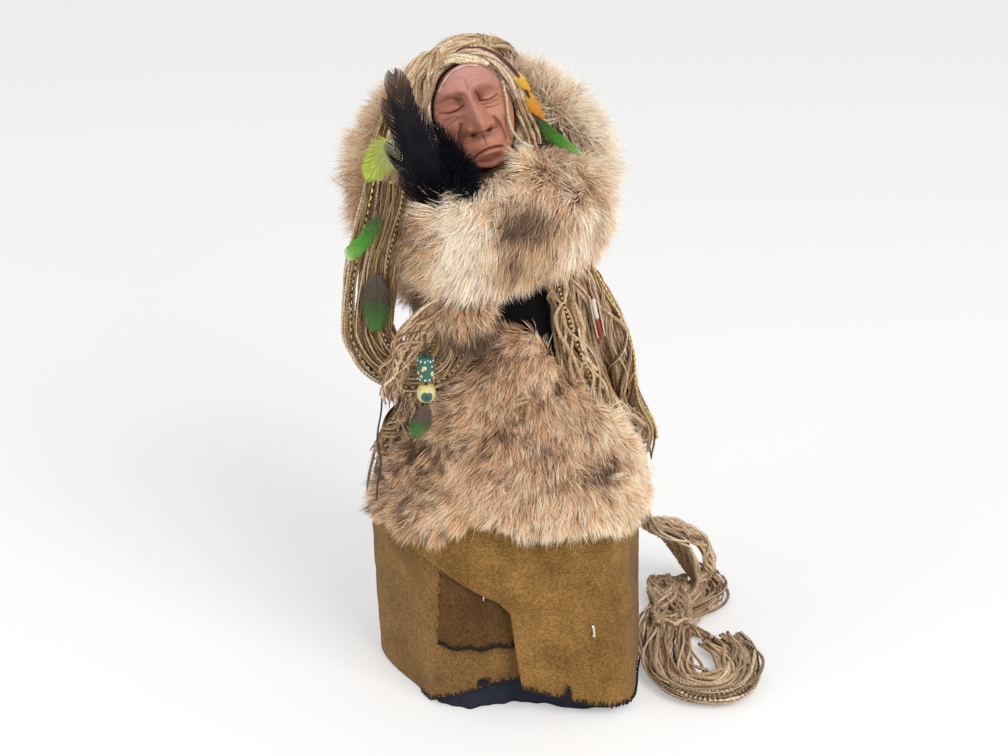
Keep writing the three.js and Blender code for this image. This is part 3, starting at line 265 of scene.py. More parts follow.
MAT = {
    "fur": fur_material("body_fur", CREAM, TAN, DARK),
    "apron": fur_material("apron_fur", APRON_CREAM, APRON_TAN, APRON_DARK),
    "felt": felt_material("golden_felt", (0.372, 0.205, 0.056), (0.195, 0.100, 0.027), (0.62, 0.42, 0.18)),
    # A much darker copy of the golden felt for the inner panel: painted shade where the flap overhangs it
    "inner_felt": felt_material("inner_felt", (0.170, 0.082, 0.024), (0.095, 0.045, 0.013), (0.34, 0.22, 0.10)),
    "lower_felt": felt_material("lower_felt", (0.340, 0.188, 0.060), (0.180, 0.096, 0.031), (0.58, 0.39, 0.18)),
    "lining": cloth_material("navy_lining", (0.010, 0.013, 0.026), (0.045, 0.05, 0.075)),
    "dress": cloth_material("black_cloth", (0.0016, 0.0014, 0.0018), (0.008, 0.007, 0.008), 1100, 1.0),
    "hide": plain_material("hide", (0.42, 0.27, 0.165), 0.9, 0.2),
    "dark_hide": plain_material("dark_hide", (0.10, 0.058, 0.036), 0.95, 0.1),
    "yarn": yarn_material("yarn", YARNS),
    "straw": yarn_material("straw_hair", STRAW, 0.7),
    "fluff": yarn_material("dark_fluff", [(0.0, (0.025, 0.016, 0.011)), (0.6, (0.085, 0.055, 0.034)),
                                          (1.0, (0.30, 0.21, 0.12))]),
    "scalp": plain_material("scalp", (0.045, 0.030, 0.020), 0.95, 0.1, 0.0, 600, 0.0006, 0.5),
    "trail": yarn_material("trailing_yarn", [(0.0, (0.18, 0.11, 0.065)), (0.5, (0.64, 0.45, 0.295)),
                                             (1.0, (0.93, 0.76, 0.56))]),
    "mauve": yarn_material("mauve_yarn", [(0.0, (0.10, 0.035, 0.035)), (1.0, (0.26, 0.11, 0.11))]),
    "pale": yarn_material("pale_yarn", [(0.0, (0.45, 0.36, 0.24)), (1.0, (0.78, 0.68, 0.5))]),
    "gold": plain_material("gold_thread", (0.85, 0.58, 0.18), 0.28, 0.5, 1.0, 900, 0.0001, 0.2),
    "silver": plain_material("silver_wire", (0.75, 0.75, 0.74), 0.3, 0.5, 1.0, 900, 0.0001, 0.15),
    "black_thread": plain_material("black_thread", (0.012, 0.011, 0.013), 0.7, 0.3, 0.0, 900, 0.0003, 0.5),
    "dark_cord": plain_material("dark_cord", (0.06, 0.05, 0.045), 0.6, 0.4, 0.0, 900, 0.0002, 0.5),
    "clay": clay_material("clay"),
    "band": plain_material("pale_band", (0.62, 0.50, 0.42), 0.8, 0.3, 0.0, 600, 0.0003, 0.25),
    "wood": wood_material("wood", (0.55, 0.36, 0.19), (0.33, 0.19, 0.09)),
    "stick": wood_material("dark_stick", (0.10, 0.06, 0.035), (0.035, 0.02, 0.014)),
    "steel": plain_material("steel", (0.55, 0.55, 0.53), 0.35, 0.5, 1.0, 500, 0.0001, 0.15),
    "stuffing": cloth_material("stuffed_cloth", (0.20, 0.12, 0.07), (0.32, 0.20, 0.12), 700),
    "black_feather": feather_material("black_feather", [(0.0, (0.003, 0.003, 0.006)), (0.8, (0.006, 0.005, 0.010)),
                                                        (1.0, (0.014, 0.012, 0.018))], 0.6, 0.12),
    "fan_feather": feather_material("fan_feather", [(0.0, (0.003, 0.003, 0.006)), (0.66, (0.008, 0.006, 0.008)),
                                                    (0.78, (0.035, 0.021, 0.015)), (0.92, (0.085, 0.055, 0.042)),
                                                    (1.0, (0.12, 0.085, 0.07))], 0.6, 0.15),
    "lime": feather_material("lime_feather", [(0.0, (0.93, 0.93, 0.84)), (0.3, (0.88, 0.90, 0.46)),
                                              (0.7, (0.78, 0.85, 0.22)), (1.0, (0.62, 0.76, 0.12))]),
    "green": feather_material("green_feather", [(0.0, (0.09, 0.075, 0.05)), (0.22, (0.05, 0.13, 0.02)),
                                                (0.6, (0.06, 0.27, 0.02)), (0.9, (0.17, 0.42, 0.07)),
                                                (1.0, (0.62, 0.76, 0.42))]),
    "dark_green": feather_material("dark_green_feather", [(0.0, (0.12, 0.085, 0.07)), (0.42, (0.07, 0.06, 0.035)),
                                                          (0.55, (0.035, 0.10, 0.02)), (1.0, (0.06, 0.17, 0.03))]),
    "yellow": feather_material("yellow_feather", [(0.0, (0.85, 0.75, 0.45)), (0.4, (0.85, 0.56, 0.06)),
                                                  (1.0, (0.85, 0.42, 0.02))]),
    "orange": feather_material("orange_feather", [(0.0, (0.8, 0.5, 0.1)), (0.5, (0.80, 0.33, 0.02)),
                                                  (1.0, (0.62, 0.2, 0.01))]),
    "quill": feather_material("quill", [(0.0, (0.75, 0.66, 0.55)), (0.45, (0.75, 0.66, 0.55)), (0.5, (0.35, 0.05, 0.04)),
                                        (1.0, (0.30, 0.04, 0.035))]),
    "bead_teal": plain_material("teal_glass", (0.016, 0.115, 0.085), 0.12, 0.6, 0.0, 250, 0.00005, 0.3),
    "bead_yellow": plain_material("yellow_glass", (0.66, 0.56, 0.22), 0.15, 0.6, 0.0, 250, 0.00005, 0.2),
    "bead_white": plain_material("white_glass", (0.80, 0.78, 0.68), 0.15, 0.6, 0.0, 250, 0.00005, 0.1),
    "bead_dark": plain_material("dark_glass", (0.02, 0.05, 0.045), 0.2, 0.6, 0.0, 250, 0.00005, 0.3),
}


# Meshes from arrays
def make_mesh(name, points, loops, sizes, materials, uv=None, face_material=None, smooth=True, attributes=None):
    mesh = bpy.data.meshes.new(name)
    points = np.asarray(points, np.float64).reshape(-1, 3) * MM
    loops = np.asarray(loops, np.int32).ravel()
    sizes = np.asarray(sizes, np.int32).ravel()
    mesh.vertices.add(len(points))
    mesh.vertices.foreach_set("co", points.astype(np.float32).ravel())
    mesh.loops.add(len(loops))
    mesh.loops.foreach_set("vertex_index", loops)
    mesh.polygons.add(len(sizes))
    starts = np.concatenate([[0], np.cumsum(sizes)[:-1]]).astype(np.int32)
    mesh.polygons.foreach_set("loop_start", starts)
    mesh.polygons.foreach_set("loop_total", sizes)
    mesh.polygons.foreach_set("use_smooth", np.full(len(sizes), smooth))
    for material in materials if isinstance(materials, (list, tuple)) else [materials]:
        mesh.materials.append(MAT[material])
    if face_material is not None:
        mesh.polygons.foreach_set("material_index", np.asarray(face_material, np.int32))
    if uv is not None:
        layer = mesh.uv_layers.new(name="OFBake")
        layer.data.foreach_set("uv", np.clip(np.asarray(uv, np.float32)[loops], 0.002, 0.998).ravel())
    for key, values in (attributes or {}).items():
        attribute = mesh.attributes.new(key, "FLOAT", "POINT")
        attribute.data.foreach_set("value", np.asarray(values, np.float32))
    mesh.update(calc_edges=True)
    mesh.validate()
    obj = bpy.data.objects.new(name, mesh)
    bpy.context.scene.collection.objects.link(obj)
    return obj


def place(obj, body, slot, replaces=()):
    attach(obj, body)
    if replaces:
        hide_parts(*replaces)


def unit(v):
    return v / np.maximum(np.linalg.norm(v, axis=-1, keepdims=True), 1e-9)


def smooth_step(x, low, high):
    t = np.clip((x - low) / (high - low), 0, 1)
    return t * t * (3 - 2 * t)


# Sections of twisted threads of two, three and four plies
TWIST_2, TWIST_3, TWIST_4 = [1, 0.75] * 2, [1, 0.8] * 3, [1, 0.85] * 4


# Length run along a line up to each of its points
def run_along(line):
    return np.concatenate([[0], np.cumsum(np.linalg.norm(np.diff(line, axis=0), axis=1))])


# A direction made square to another one
def square_to(v, ahead):
    return unit(v - (v * ahead).sum(-1, keepdims=True) * ahead)


# A sine over a share, with a random number of waves and a random start
def random_wave(rng, share, low, high, shape=None):
    return np.sin(share * rng.uniform(low, high, shape) + rng.uniform(0, 6.3, shape))


# Smooth noise over places, the same each run
def wobble(points, scale, seed, octaves=2):
    rng = np.random.default_rng(seed)
    total = np.zeros(points.shape[:-1])
    weight = 0
    for octave in range(octaves):
        share = 0.55 ** octave
        for _ in range(4):
            direction = unit(rng.normal(size=3)) * (2 * np.pi / scale) * (1.9 ** octave) * rng.uniform(0.6, 1.4)
            total += share * np.sin(points @ direction + rng.uniform(0, 2 * np.pi))
            weight += share * 0.5
    return total / math.sqrt(weight * 4)


# Thin ribbons along many lines, each ending in a point: lines is (count, steps + 1, 3), half widths and sides alike
def ribbons(name, lines, half_width, side, tone, material):
    count, rows, _ = lines.shape
    steps = rows - 1
    offset = side * half_width[..., None]
    left, right = lines - offset, lines + offset
    body = np.stack([left[:, :steps], right[:, :steps]], axis=2).reshape(count, -1, 3)
    body = np.concatenate([body, lines[:, -1:]], axis=1)
    per = body.shape[1]
    pattern = [v for i in range(steps - 1) for v in (2 * i, 2 * i + 1, 2 * i + 3, 2 * i + 2)]
    pattern += [2 * steps - 2, 2 * steps - 1, 2 * steps]
    sizes = [4] * (steps - 1) + [3]
    loops = (np.arange(count)[:, None] * per + np.array(pattern)[None]).ravel()
    t = np.append(np.repeat(np.arange(steps) / steps, 2), 1.0)
    uv = np.stack([np.broadcast_to(tone[:, None], (count, per)), np.broadcast_to(t[None], (count, per))], axis=-1)
    return make_mesh(name, body.reshape(-1, 3), loops, np.tile(sizes, count), material, uv.reshape(-1, 2))


# Round or lobed closed tubes along many lines of the same number of points. With bands, two materials take turns
def tubes(name, lines, radius, profile, twist, material, tone=None, bands=0):
    count, rows, _ = lines.shape
    ahead = unit(np.gradient(lines, axis=1))
    first = np.where(np.abs(ahead[:, :1, 2:3]) > 0.85, np.array([1.0, 0, 0]), np.array([0, 0, 1.0]))
    up = np.empty_like(lines)
    current = square_to(first[:, 0], ahead[:, 0])
    for i in range(rows):
        current = square_to(current, ahead[:, i])
        up[:, i] = current
    across = np.cross(ahead, up)
    sides = len(profile)
    turn = 2 * np.pi * np.arange(sides) / sides
    spacing = np.linalg.norm(np.diff(lines, axis=1), axis=-1)
    run = np.concatenate([np.zeros((count, 1)), np.cumsum(spacing, axis=1)], axis=1)
    angle = turn[None, None] + twist * run[..., None]
    reach = np.asarray(radius)[..., None] * np.asarray(profile)[None, None]
    ring = lines[:, :, None] + (np.cos(angle) * reach)[..., None] * up[:, :, None] \
        + (np.sin(angle) * reach)[..., None] * across[:, :, None]
    per = rows * sides
    i, j = np.meshgrid(np.arange(rows - 1), np.arange(sides), indexing="ij")
    k = (j + 1) % sides
    quad = np.stack([i * sides + j, (i + 1) * sides + j, (i + 1) * sides + k, i * sides + k], axis=-1).reshape(-1)
    quad = np.concatenate([quad, np.arange(sides), (rows - 1) * sides + np.arange(sides)[::-1]])
    sizes = [4] * ((rows - 1) * sides) + [sides, sides]
    loops = (np.arange(count)[:, None] * per + quad[None]).ravel()
    faces_material = None
    if bands:
        row_band = np.repeat((np.arange(rows - 1) // bands) % 2, sides)
        faces_material = np.tile(np.concatenate([row_band, [0, 0]]), count)
    uv = None
    if tone is not None:
        tone = np.asarray(tone, float)
        v = run / run[:, -1:]
        uv = np.stack([np.broadcast_to(tone[:, None, None], (count, rows, sides)),
                       np.broadcast_to(v[..., None], (count, rows, sides))], axis=-1).reshape(-1, 2)
    return make_mesh(name, ring.reshape(-1, 3), loops, np.tile(sizes, count), material, uv, faces_material)


# One thread along a line
def thread(name, line, radius, profile, twist, material, bands=0, slot="yarn"):
    radius = np.broadcast_to(radius, len(line))[None]
    place(tubes(name, line[None], radius, profile, twist, material, [0.5], bands), "doll", slot)


# Lines through control points, evenly spaced
def through(points, count):
    points = np.asarray(points, float)
    pad = np.vstack([2 * points[0] - points[1], points, 2 * points[-1] - points[-2]])
    spans = len(points) - 1
    fine = []
    for s in range(spans):
        p0, p1, p2, p3 = pad[s:s + 4]
        t = np.linspace(0, 1, 24, endpoint=s == spans - 1)[:, None]
        fine.append(0.5 * (2 * p1 + (p2 - p0) * t + (2 * p0 - 5 * p1 + 4 * p2 - p3) * t ** 2
                           + (3 * p1 - p0 - 3 * p2 + p3) * t ** 3))
    fine = np.vstack(fine)
    run = run_along(fine)
    at = np.linspace(0, run[-1], count)
    return np.stack([np.interp(at, run, fine[:, i]) for i in range(3)], axis=1)


# CAD surfaces
def node_arrays(name):
    mesh = NODES[name].data
    co = np.zeros(len(mesh.vertices) * 3)
    mesh.vertices.foreach_get("co", co)
    mesh.calc_loop_triangles()
    tri = np.zeros(len(mesh.loop_triangles) * 3, np.int32)
    mesh.loop_triangles.foreach_get("vertices", tri)
    return co.reshape(-1, 3) / MM, tri.reshape(-1, 3)


# Heights of the body, the half width of the hood, how far the neck leans, and how thick the clothes lie on the core
WAIST, CHEST, SHOULDER, NECK, CROWN = 223.0, 261.0, 289.0, 303.0, 371.5
HOOD = 68.0
LEAN = -12.0
ROBE_STAND, FLAP_STAND, DRESS_STAND = 7.4, 13.76, 2.6


def lean(z):
    return LEAN * smooth_step(np.asarray(z, float), WAIST, NECK)


# Distance of nodes' outer surface from the body's middle line, on a grid of turns and heights
def outer_radius(names, turns, heights):
    points, faces, start = [], [], 0
    for name in names:
        p, f = node_arrays(name)
        points.append(p)
        faces.append(f + start)
        start += len(p)
    tree = BVHTree.FromPolygons(np.vstack(points).tolist(), np.vstack(faces).tolist())
    found = np.full((len(turns), len(heights)), np.nan)
    for a, turn in enumerate(turns):
        out = Vector((math.cos(turn), math.sin(turn), 0))
        for h, z in enumerate(heights):
            middle = Vector((float(lean(z)), 0, float(z)))
            hit = tree.ray_cast(middle + out * 150, -out)
            if hit[0] is not None:
                found[a, h] = (hit[0] - middle).dot(out)
    return found


def blur(grid, passes):
    for _ in range(passes):
        grid = (np.roll(grid, 1, 0) + 2 * grid + np.roll(grid, -1, 0)) / 4
        padded = np.concatenate([grid[:, :1], grid, grid[:, -1:]], axis=1)
        grid = (padded[:, :-2] + 2 * grid + padded[:, 2:]) / 4
    return grid


# The robe's own surface, that everything on the body is measured from
TURNS = np.radians(np.arange(0, 360, 4))
HEIGHTS = np.arange(1, 150, 6.0)
robe_radius = blur(outer_radius(["robe_wrap", "robe_lining"], TURNS, HEIGHTS), 4)
DRESS_HEIGHTS = np.arange(150, 296, 6.0)
dress_radius = blur(outer_radius(["dress"], TURNS, DRESS_HEIGHTS), 1)


def look_up(grid, turns, heights, turn, z):
    a = (np.asarray(turn) / (turns[1] - turns[0])) % len(turns)
    h = np.clip((np.asarray(z) - heights[0]) / (heights[1] - heights[0]), 0, len(heights) - 1.001)
    a0, h0 = np.floor(a).astype(int), np.floor(h).astype(int)
    fa, fh = a - a0, h - h0
    a0, a1 = a0 % len(turns), (a0 + 1) % len(turns)
    low = grid[a0, h0] * (1 - fa) + grid[a1, h0] * fa
    high = grid[a0, h0 + 1] * (1 - fa) + grid[a1, h0 + 1] * fa
    return low * (1 - fh) + high * fh


# Radius of the core at a turn and height, under all the clothes
def core_radius(turn, z):
    z = np.asarray(z, float)
    low = look_up(robe_radius, TURNS, HEIGHTS, turn, z) - ROBE_STAND
    high = look_up(dress_radius, TURNS, DRESS_HEIGHTS, turn, z) - DRESS_STAND
    share = smooth_step(z, 140, 158)
    return low * (1 - share) + high * share


def on_body(turn, z, off):
    r = core_radius(turn, z) + off
    return np.stack([lean(z) + r * np.cos(turn), r * np.sin(turn), np.broadcast_to(z, np.shape(r))], axis=-1)


# A two-sided sheet from a grid of outer points and its thickness, with rounded edges
def sheet_mesh(name, outer, thickness, material, wraps=False):
    rows, cols, _ = outer.shape
    along_u = np.gradient(outer, axis=0)
    if wraps:
        along_u = np.roll(outer, -1, 0) - np.roll(outer, 1, 0)
    normal = unit(np.cross(along_u, np.gradient(outer, axis=1)))
    middle = lean(outer[..., 2])
    away = outer - np.stack([middle, np.zeros_like(middle), outer[..., 2]], axis=-1)
    normal *= np.sign((normal * away).sum(-1, keepdims=True))
    half = thickness / 2
    centre = outer - normal * half
    edge = np.ones((rows, cols))
    edge[:, 0] = edge[:, -1] = 0.35
    edge[:, 1] = edge[:, -2] = 0.85
    if not wraps:
        edge[0] = np.minimum(edge[0], 0.35)
        edge[-1] = np.minimum(edge[-1], 0.35)
    depth = normal * half * edge[..., None]
    points = np.concatenate([(centre + depth).reshape(-1, 3), (centre - depth).reshape(-1, 3)])
    shift = rows * cols
    r = np.arange(rows if wraps else rows - 1)
    c = np.arange(cols - 1)
    i, j = np.meshgrid(r, c, indexing="ij")
    n = (i + 1) % rows
    quad_front = np.stack([i * cols + j, n * cols + j, n * cols + j + 1, i * cols + j + 1], axis=-1).reshape(-1, 4)
    quad_back = quad_front[:, ::-1] + shift
    rims = []
    for column in (0, cols - 1):
        a = r * cols + column
        b = ((r + 1) % rows) * cols + column
        q = np.stack([a, b, b + shift, a + shift], axis=-1)
        rims.append(q if column else q[:, ::-1])
    if not wraps:
        for row in (0, rows - 1):
            a = row * cols + c
            q = np.stack([a, a + 1, a + 1 + shift, a + shift], axis=-1)
            rims.append(q[:, ::-1] if row else q)
    quads = np.concatenate([quad_front, quad_back, *rims])
    return make_mesh(name, points, quads, np.full(len(quads), 4), material)


FELT_DEPTH = 2.4


# Stitches that whip over an edge: short dark arcs across it
def edge_stitches(name, edge, inward, normal, spacing, reach, seed, radius=0.42):
    rng = np.random.default_rng(seed)
    run = run_along(edge)
    at = np.arange(spacing / 2, run[-1], spacing)
    at = at + rng.uniform(-0.3, 0.3, size=len(at)) * spacing

    def pick(grid):
        return np.stack([np.interp(at, run, grid[:, i]) for i in range(3)], axis=1)

    middle, into, out = pick(edge), unit(pick(inward)), unit(pick(normal))
    along_edge = unit(np.gradient(middle, axis=0)) if len(at) > 1 else np.tile([1.0, 0, 0], (len(at), 1))
    long = reach * rng.uniform(0.7, 1.25, size=len(at))
    lines = []
    for t in np.linspace(0, 1, 7):
        over = np.sin(np.pi * t)
        lines.append(middle + into * (long * (1 - 1.12 * over ** 0.8))[:, None]
                     + out * (FELT_DEPTH * (0.42 - t * 1.25 + 0.12 * over))
                     + along_edge * (spacing * 0.42 * (t - 0.5)))
    stitches = tubes(name, np.stack(lines, axis=1), np.full((len(at), 7), radius), [1, 1, 1, 1, 1], 0, "black_thread")
    place(stitches, "doll", "dark_cord")


make_camera()


# Free cords first: a dark one from the left hair, and the one that the beads hang on
def hair_place(shares):
    return np.asarray(shares, float) * np.array([HOOD, HOOD, CROWN])


def dark_cord_piece(name, route, radius, rows, body, replaces, wave=0.0):
    line = through(route, rows)
    share = np.linspace(0, 1, rows)
    line = line + (wave * np.sin(share * 11) * np.sin(np.pi * share))[:, None] * np.array([1.0, 0.3, 0])
    obj = tubes(name, line[None], np.full((1, rows), radius), [1, 0.86] * 4, 2.2, "dark_cord", [0.5])
    place(obj, body, "dark_cord", replaces)
    return obj, line


loose_route = hair_place([[-0.928, -0.662, 0.52], [-0.955, -0.7, 0.49], [-0.97, -0.73, 0.42], [-1.0, -0.72, 0.34]])
loose, loose_line = dark_cord_piece("loose_cord_thread", loose_route, 0.7, 60, "doll", ["loose_cord"], 1.3)

# The drop's place from above, and the height where its cord ends
DROP = (-39.6, -69.0)
DROP_END = 193.15
drop_route = [(-39.6, -59.06, 234.2), (*DROP, 230.0), (*DROP, 222.3), (*DROP, 213.9), (*DROP, DROP_END)]
dark_cord_piece("bead_cord_thread", drop_route, 0.6, 50, "bead_drop", ["bead_cord"])


# Floor, lamps and world
def studio():
    scene = bpy.context.scene
    scene.view_settings.view_transform = "Standard"
    mat, tree, shader = new_material("pale_floor")
    cloud = object_noise(tree, 1.5, 2, 0.5)
    pale = mix_colour(tree, cloud, (0.93, 0.93, 0.925), (0.95, 0.95, 0.95))
    seen = put(tree, "ShaderNodeLightPath").outputs["Is Camera Ray"]
    surface(tree, shader, mix_colour(tree, seen, pale, (0.64, 0.64, 0.64)), 0.9, 0.1)
    lift = put(tree, "ShaderNodeMath", {0: seen, 1: 0.33}, operation="MULTIPLY")
    shader.inputs["Emission Color"].default_value = (1, 1, 1, 1)
    tree.links.new(lift.outputs[0], shader.inputs["Emission Strength"])
    MAT["floor"] = mat
    size, low = 6000, -0.05
    corners = [[-size, -size, low], [size, -size, low], [size, size, low], [-size, size, low]]
    floor = make_mesh("floor", corners, [0, 1, 2, 3], [4], "floor", smooth=False)
    world = bpy.data.worlds.new("world")
    scene.world = world
    world.use_nodes = True
    back = world.node_tree.nodes["Background"]
    back.inputs[0].default_value = (1.0, 1.0, 1.0, 1)
    tree = world.node_tree
    path = put(tree, "ShaderNodeLightPath")
    seen = put(tree, "ShaderNodeMath", {0: path.outputs["Is Camera Ray"], 1: path.outputs["Is Glossy Ray"]},
               operation="MAXIMUM")
    seen = put(tree, "ShaderNodeMath", {0: seen.outputs[0], 1: path.outputs["Is Transmission Ray"]},
               operation="MAXIMUM")
    strength = put(tree, "ShaderNodeMapRange", {"Value": seen.outputs[0], "To Min": 0.66, "To Max": 1.0})
    tree.links.new(strength.outputs[0], back.inputs[1])
    aim = Vector((0, 0, 0.17))
    for name, spot, power, size_m, tint in (
            ("key", (0.9, -1.3, 1.5), 26.0, 1.1, (1.0, 0.98, 0.95)),
            ("side", (-1.5, -0.7, 1.0), 7.0, 1.0, (0.96, 0.98, 1.0))):
        lamp = bpy.data.lights.new(name, "AREA")
        lamp.energy = power
        lamp.size = size_m
        lamp.color = tint
        obj = bpy.data.objects.new(name, lamp)
        scene.collection.objects.link(obj)
        obj.location = spot
        obj.rotation_euler = (aim - Vector(spot)).to_track_quat("-Z", "Y").to_euler()


studio()


# Robe: lining, wrap, inner panel and outer flap. The wrap's hem arches over the front
def arch_lift(turn):
    away = np.minimum(1, np.abs(np.degrees(turn) - 276) / 44)
    return 18 * np.cos(away * np.pi / 2)


# Points of a sheet that stands off the core between two heights at each turn
def grid_sheet(turns, low, high, rows, off, seed, ripple=0.5):
    t = np.linspace(0, 1, rows)
    z = np.multiply.outer(low * np.ones(len(turns)), 1 - t) + high * t
    turn = np.broadcast_to(turns[:, None], z.shape)
    flat = on_body(turn, z, off)
    return on_body(turn, z, off + ripple * wobble(flat, 46, seed) + 0.12 * wobble(flat, 9, seed + 1))


# Black thread bunched on a hem at the front, near one x and at a height above the edge
def hem_tangle(name, grid, x, above, spread, count, seed):
    column = int(np.argmin(np.abs(grid[:, 0, 0] - x) + 200 * (grid[:, 0, 1] > 0)))
    row = int(np.argmin(np.abs(grid[column, :, 2] - grid[column, 0, 2] - above)))
    middle = grid[column, row]
    out = unit(middle * [1, 1, 0])
    side = np.array([out[1], -out[0], 0])
    up = np.array([0, 0, 1.0])
    rng = np.random.default_rng(seed)
    turn = np.linspace(0, 2 * np.pi, 30)
    lines = []
    for _ in range(count):
        start = middle + side * rng.normal() * spread[0] * 0.35 + up * (rng.normal() * spread[1] * 0.35)
        wide = spread[0] * rng.uniform(0.2, 0.5) * random_wave(rng, turn, 0.5, 1.0)
        high = spread[1] * rng.uniform(0.2, 0.5) * np.cos(turn * rng.uniform(0.6, 1.1) + rng.uniform(0, 6.3))
        proud = 0.45 + 0.3 * np.sin(turn * 2 + start[2])
        lines.append(start + side * wide[:, None] + up * high[:, None] + out * proud[:, None])
    obj = tubes(name, np.array(lines), np.full((count, 30), 0.26), TWIST_3, 1.2, "black_thread", np.full(count, 0.5))
    place(obj, "doll", "dark_cord")


def robe():
    turns = np.radians(np.linspace(0, 360, 240, endpoint=False))
    wave = 0.45 * np.sin(turns * 9 + 1)
    lining = grid_sheet(turns, 0.3, 149.0, 60, 4.3, 3, 0.25)
    lining[:, :4, :2] *= (1 + (0.012 * np.sin(turns * 23) + 0.008 * np.sin(turns * 41 + 2))[:, None, None]
                          * np.linspace(1, 0, 4)[None, :, None])
    obj = sheet_mesh("robe_lining_cloth", lining, 1.1, "lining", wraps=True)
    place(obj, "doll", "lining_cloth", ["robe_lining"])
    low = np.maximum(0.4, arch_lift(turns) + wave * (arch_lift(turns) > 1))
    outer = grid_sheet(turns, low, 149.5, 80, 7.3, 11)
    obj = sheet_mesh("robe_wrap_felt", outer, 2.3, "lower_felt", wraps=True)
    place(obj, "doll", "felt", ["robe_wrap"])
    hem_in = outer[:, 2] - outer[:, 0]
    away = outer[:, 0] * [1, 1, 0]
    front = (np.degrees(turns) > 222) & (np.degrees(turns) < 350)
    edge_stitches("robe_hem_stitches", outer[front, 0], hem_in[front], away[front], 2.6, 2.6, 5)
    hem_tangle("wrap_hem_tangle", outer, -12.3, 4.5, (9.0, 2.6), 22, 19)


def panel():
    turns = np.radians(np.linspace(240, 291, 90))
    degrees = np.degrees(turns)
    low = 42 + 0.8 * np.sin(degrees * 0.5) + 1.5 * smooth_step(degrees, 262, 284)
    outer = grid_sheet(turns, low, 149.0, 60, 10.5, 21, 0.35)
    # The panel's darker felt is painted shade from the flap that stands over it
    obj = sheet_mesh("robe_inner_panel_felt", outer, 2.3, "inner_felt")
    place(obj, "doll", "felt", ["robe_inner_panel"])
    hem = outer[:, 0]
    edge_stitches("panel_hem_stitches", hem, outer[:, 2] - hem, hem * [1, 1, 0], 2.2, 3.0, 7, 0.5)
    line = through(hem[::6] + unit(hem[::6] * [1, 1, 0]) * 0.5 + [0, 0, 0.5], 90)
    thread("panel_hem_thread", line, 0.6, [1, 0.7] * 3, 1.6, "black_thread", slot="dark_cord")
    side = outer[0, :40]
    edge_stitches("panel_side_stitches", side, outer[2, :40] - side, side * [1, 1, 0], 6.5, 1.2, 9, 0.26)


# The flap's lower edge, height by turn: a drawn-up corner on the left, then down to the floor at the right
FLAP_TURNS = [208, 214, 222, 232, 244, 256, 268, 273.5, 276, 279, 284, 296, 310, 325, 338, 346, 352]
FLAP_HEMS = [104, 103, 100, 95, 88, 80, 72.5, 66, 42, 17.5, 15.5, 11, 6, 2.5, 0.8, 0.6, 0.6]


def flap():
    count = 300
    degrees = np.linspace(208, 352, count)
    turns = np.radians(degrees)
    low = np.interp(degrees, FLAP_TURNS, FLAP_HEMS)
    low = low + 0.35 * np.sin(degrees * 0.9) * smooth_step(degrees, 280, 290)
    fold = smooth_step(degrees, 268, 277) * (1 - smooth_step(degrees, 279, 306))
    stand = 13.4 + 3.4 * fold
    t = np.linspace(0, 1, 90)
    z = low[:, None] * (1 - t) + 149.3 * t
    turn = np.broadcast_to(turns[:, None], z.shape)
    near_top = smooth_step(z, 96, 128)
    drape = 1.4 * np.sin(np.radians(degrees * 5.2))[:, None] * (1 - near_top)
    drape = drape * smooth_step(degrees, 290, 310)[:, None]
    off = stand[:, None] * (1 - near_top) + 12.6 * near_top + drape
    flat = on_body(turn, z, off)
    outer = on_body(turn, z, off + 0.5 * wobble(flat, 50, 31) + 0.12 * wobble(flat, 9, 32))
    obj = sheet_mesh("robe_flap_felt", outer, 2.4, "felt")
    place(obj, "doll", "felt", ["robe_front_flap"])
    right = degrees > 278.5
    hem = outer[right, 0]
    edge_stitches("flap_hem_stitches", hem, outer[right, 2] - hem, hem * [1, 1, 0], 2.5, 3.0, 13, 0.5)
    hem_tangle("flap_hem_tangle", outer, 36.9, 5.0, (5.0, 6.5), 30, 17)


robe()
panel()
flap()


# Bright staples that hold the folds
def staple(name, turn, z, off, length, lean_turn, radius):
    base = on_body(np.radians(turn), np.float64(z), off)
    out = unit(base * [1, 1, 0])
    up = unit(np.array([lean_turn, 0, 1.0]))
    half = up * length / 2
    line = through([base - half - out * 1.2, base - half + out * 0.3, base + out * 0.5, base + half + out * 0.3,
                    base + half - out * 1.2], 24)
    thread(name, line, radius, [1] * 6, 0, "silver", slot="wire")


staple("staple_right", 305.5, 55.5, 15.6, 6.2, -0.12, 0.72)
staple("staple_left", 261.5, 75.5, 11.6, 4.2, 0.05, 0.45)


# Dress of black cloth
def dress():
    turns = np.radians(np.linspace(0, 360, 200, endpoint=False))
    outer = grid_sheet(turns, 53.0, 295.5, 110, 2.5, 41, 0.2)
    obj = sheet_mesh("dress_cloth", outer, 1.8, "dress", wraps=True)
    place(obj, "doll", "dress_cloth", ["dress"])


dress()


# Hairs in one mesh at most, and their widths from root to tip
HAIR_LIMIT = 26000
HAIR_TAPER = np.array([0.8, 1.0, 0.9, 0.62, 0.0])


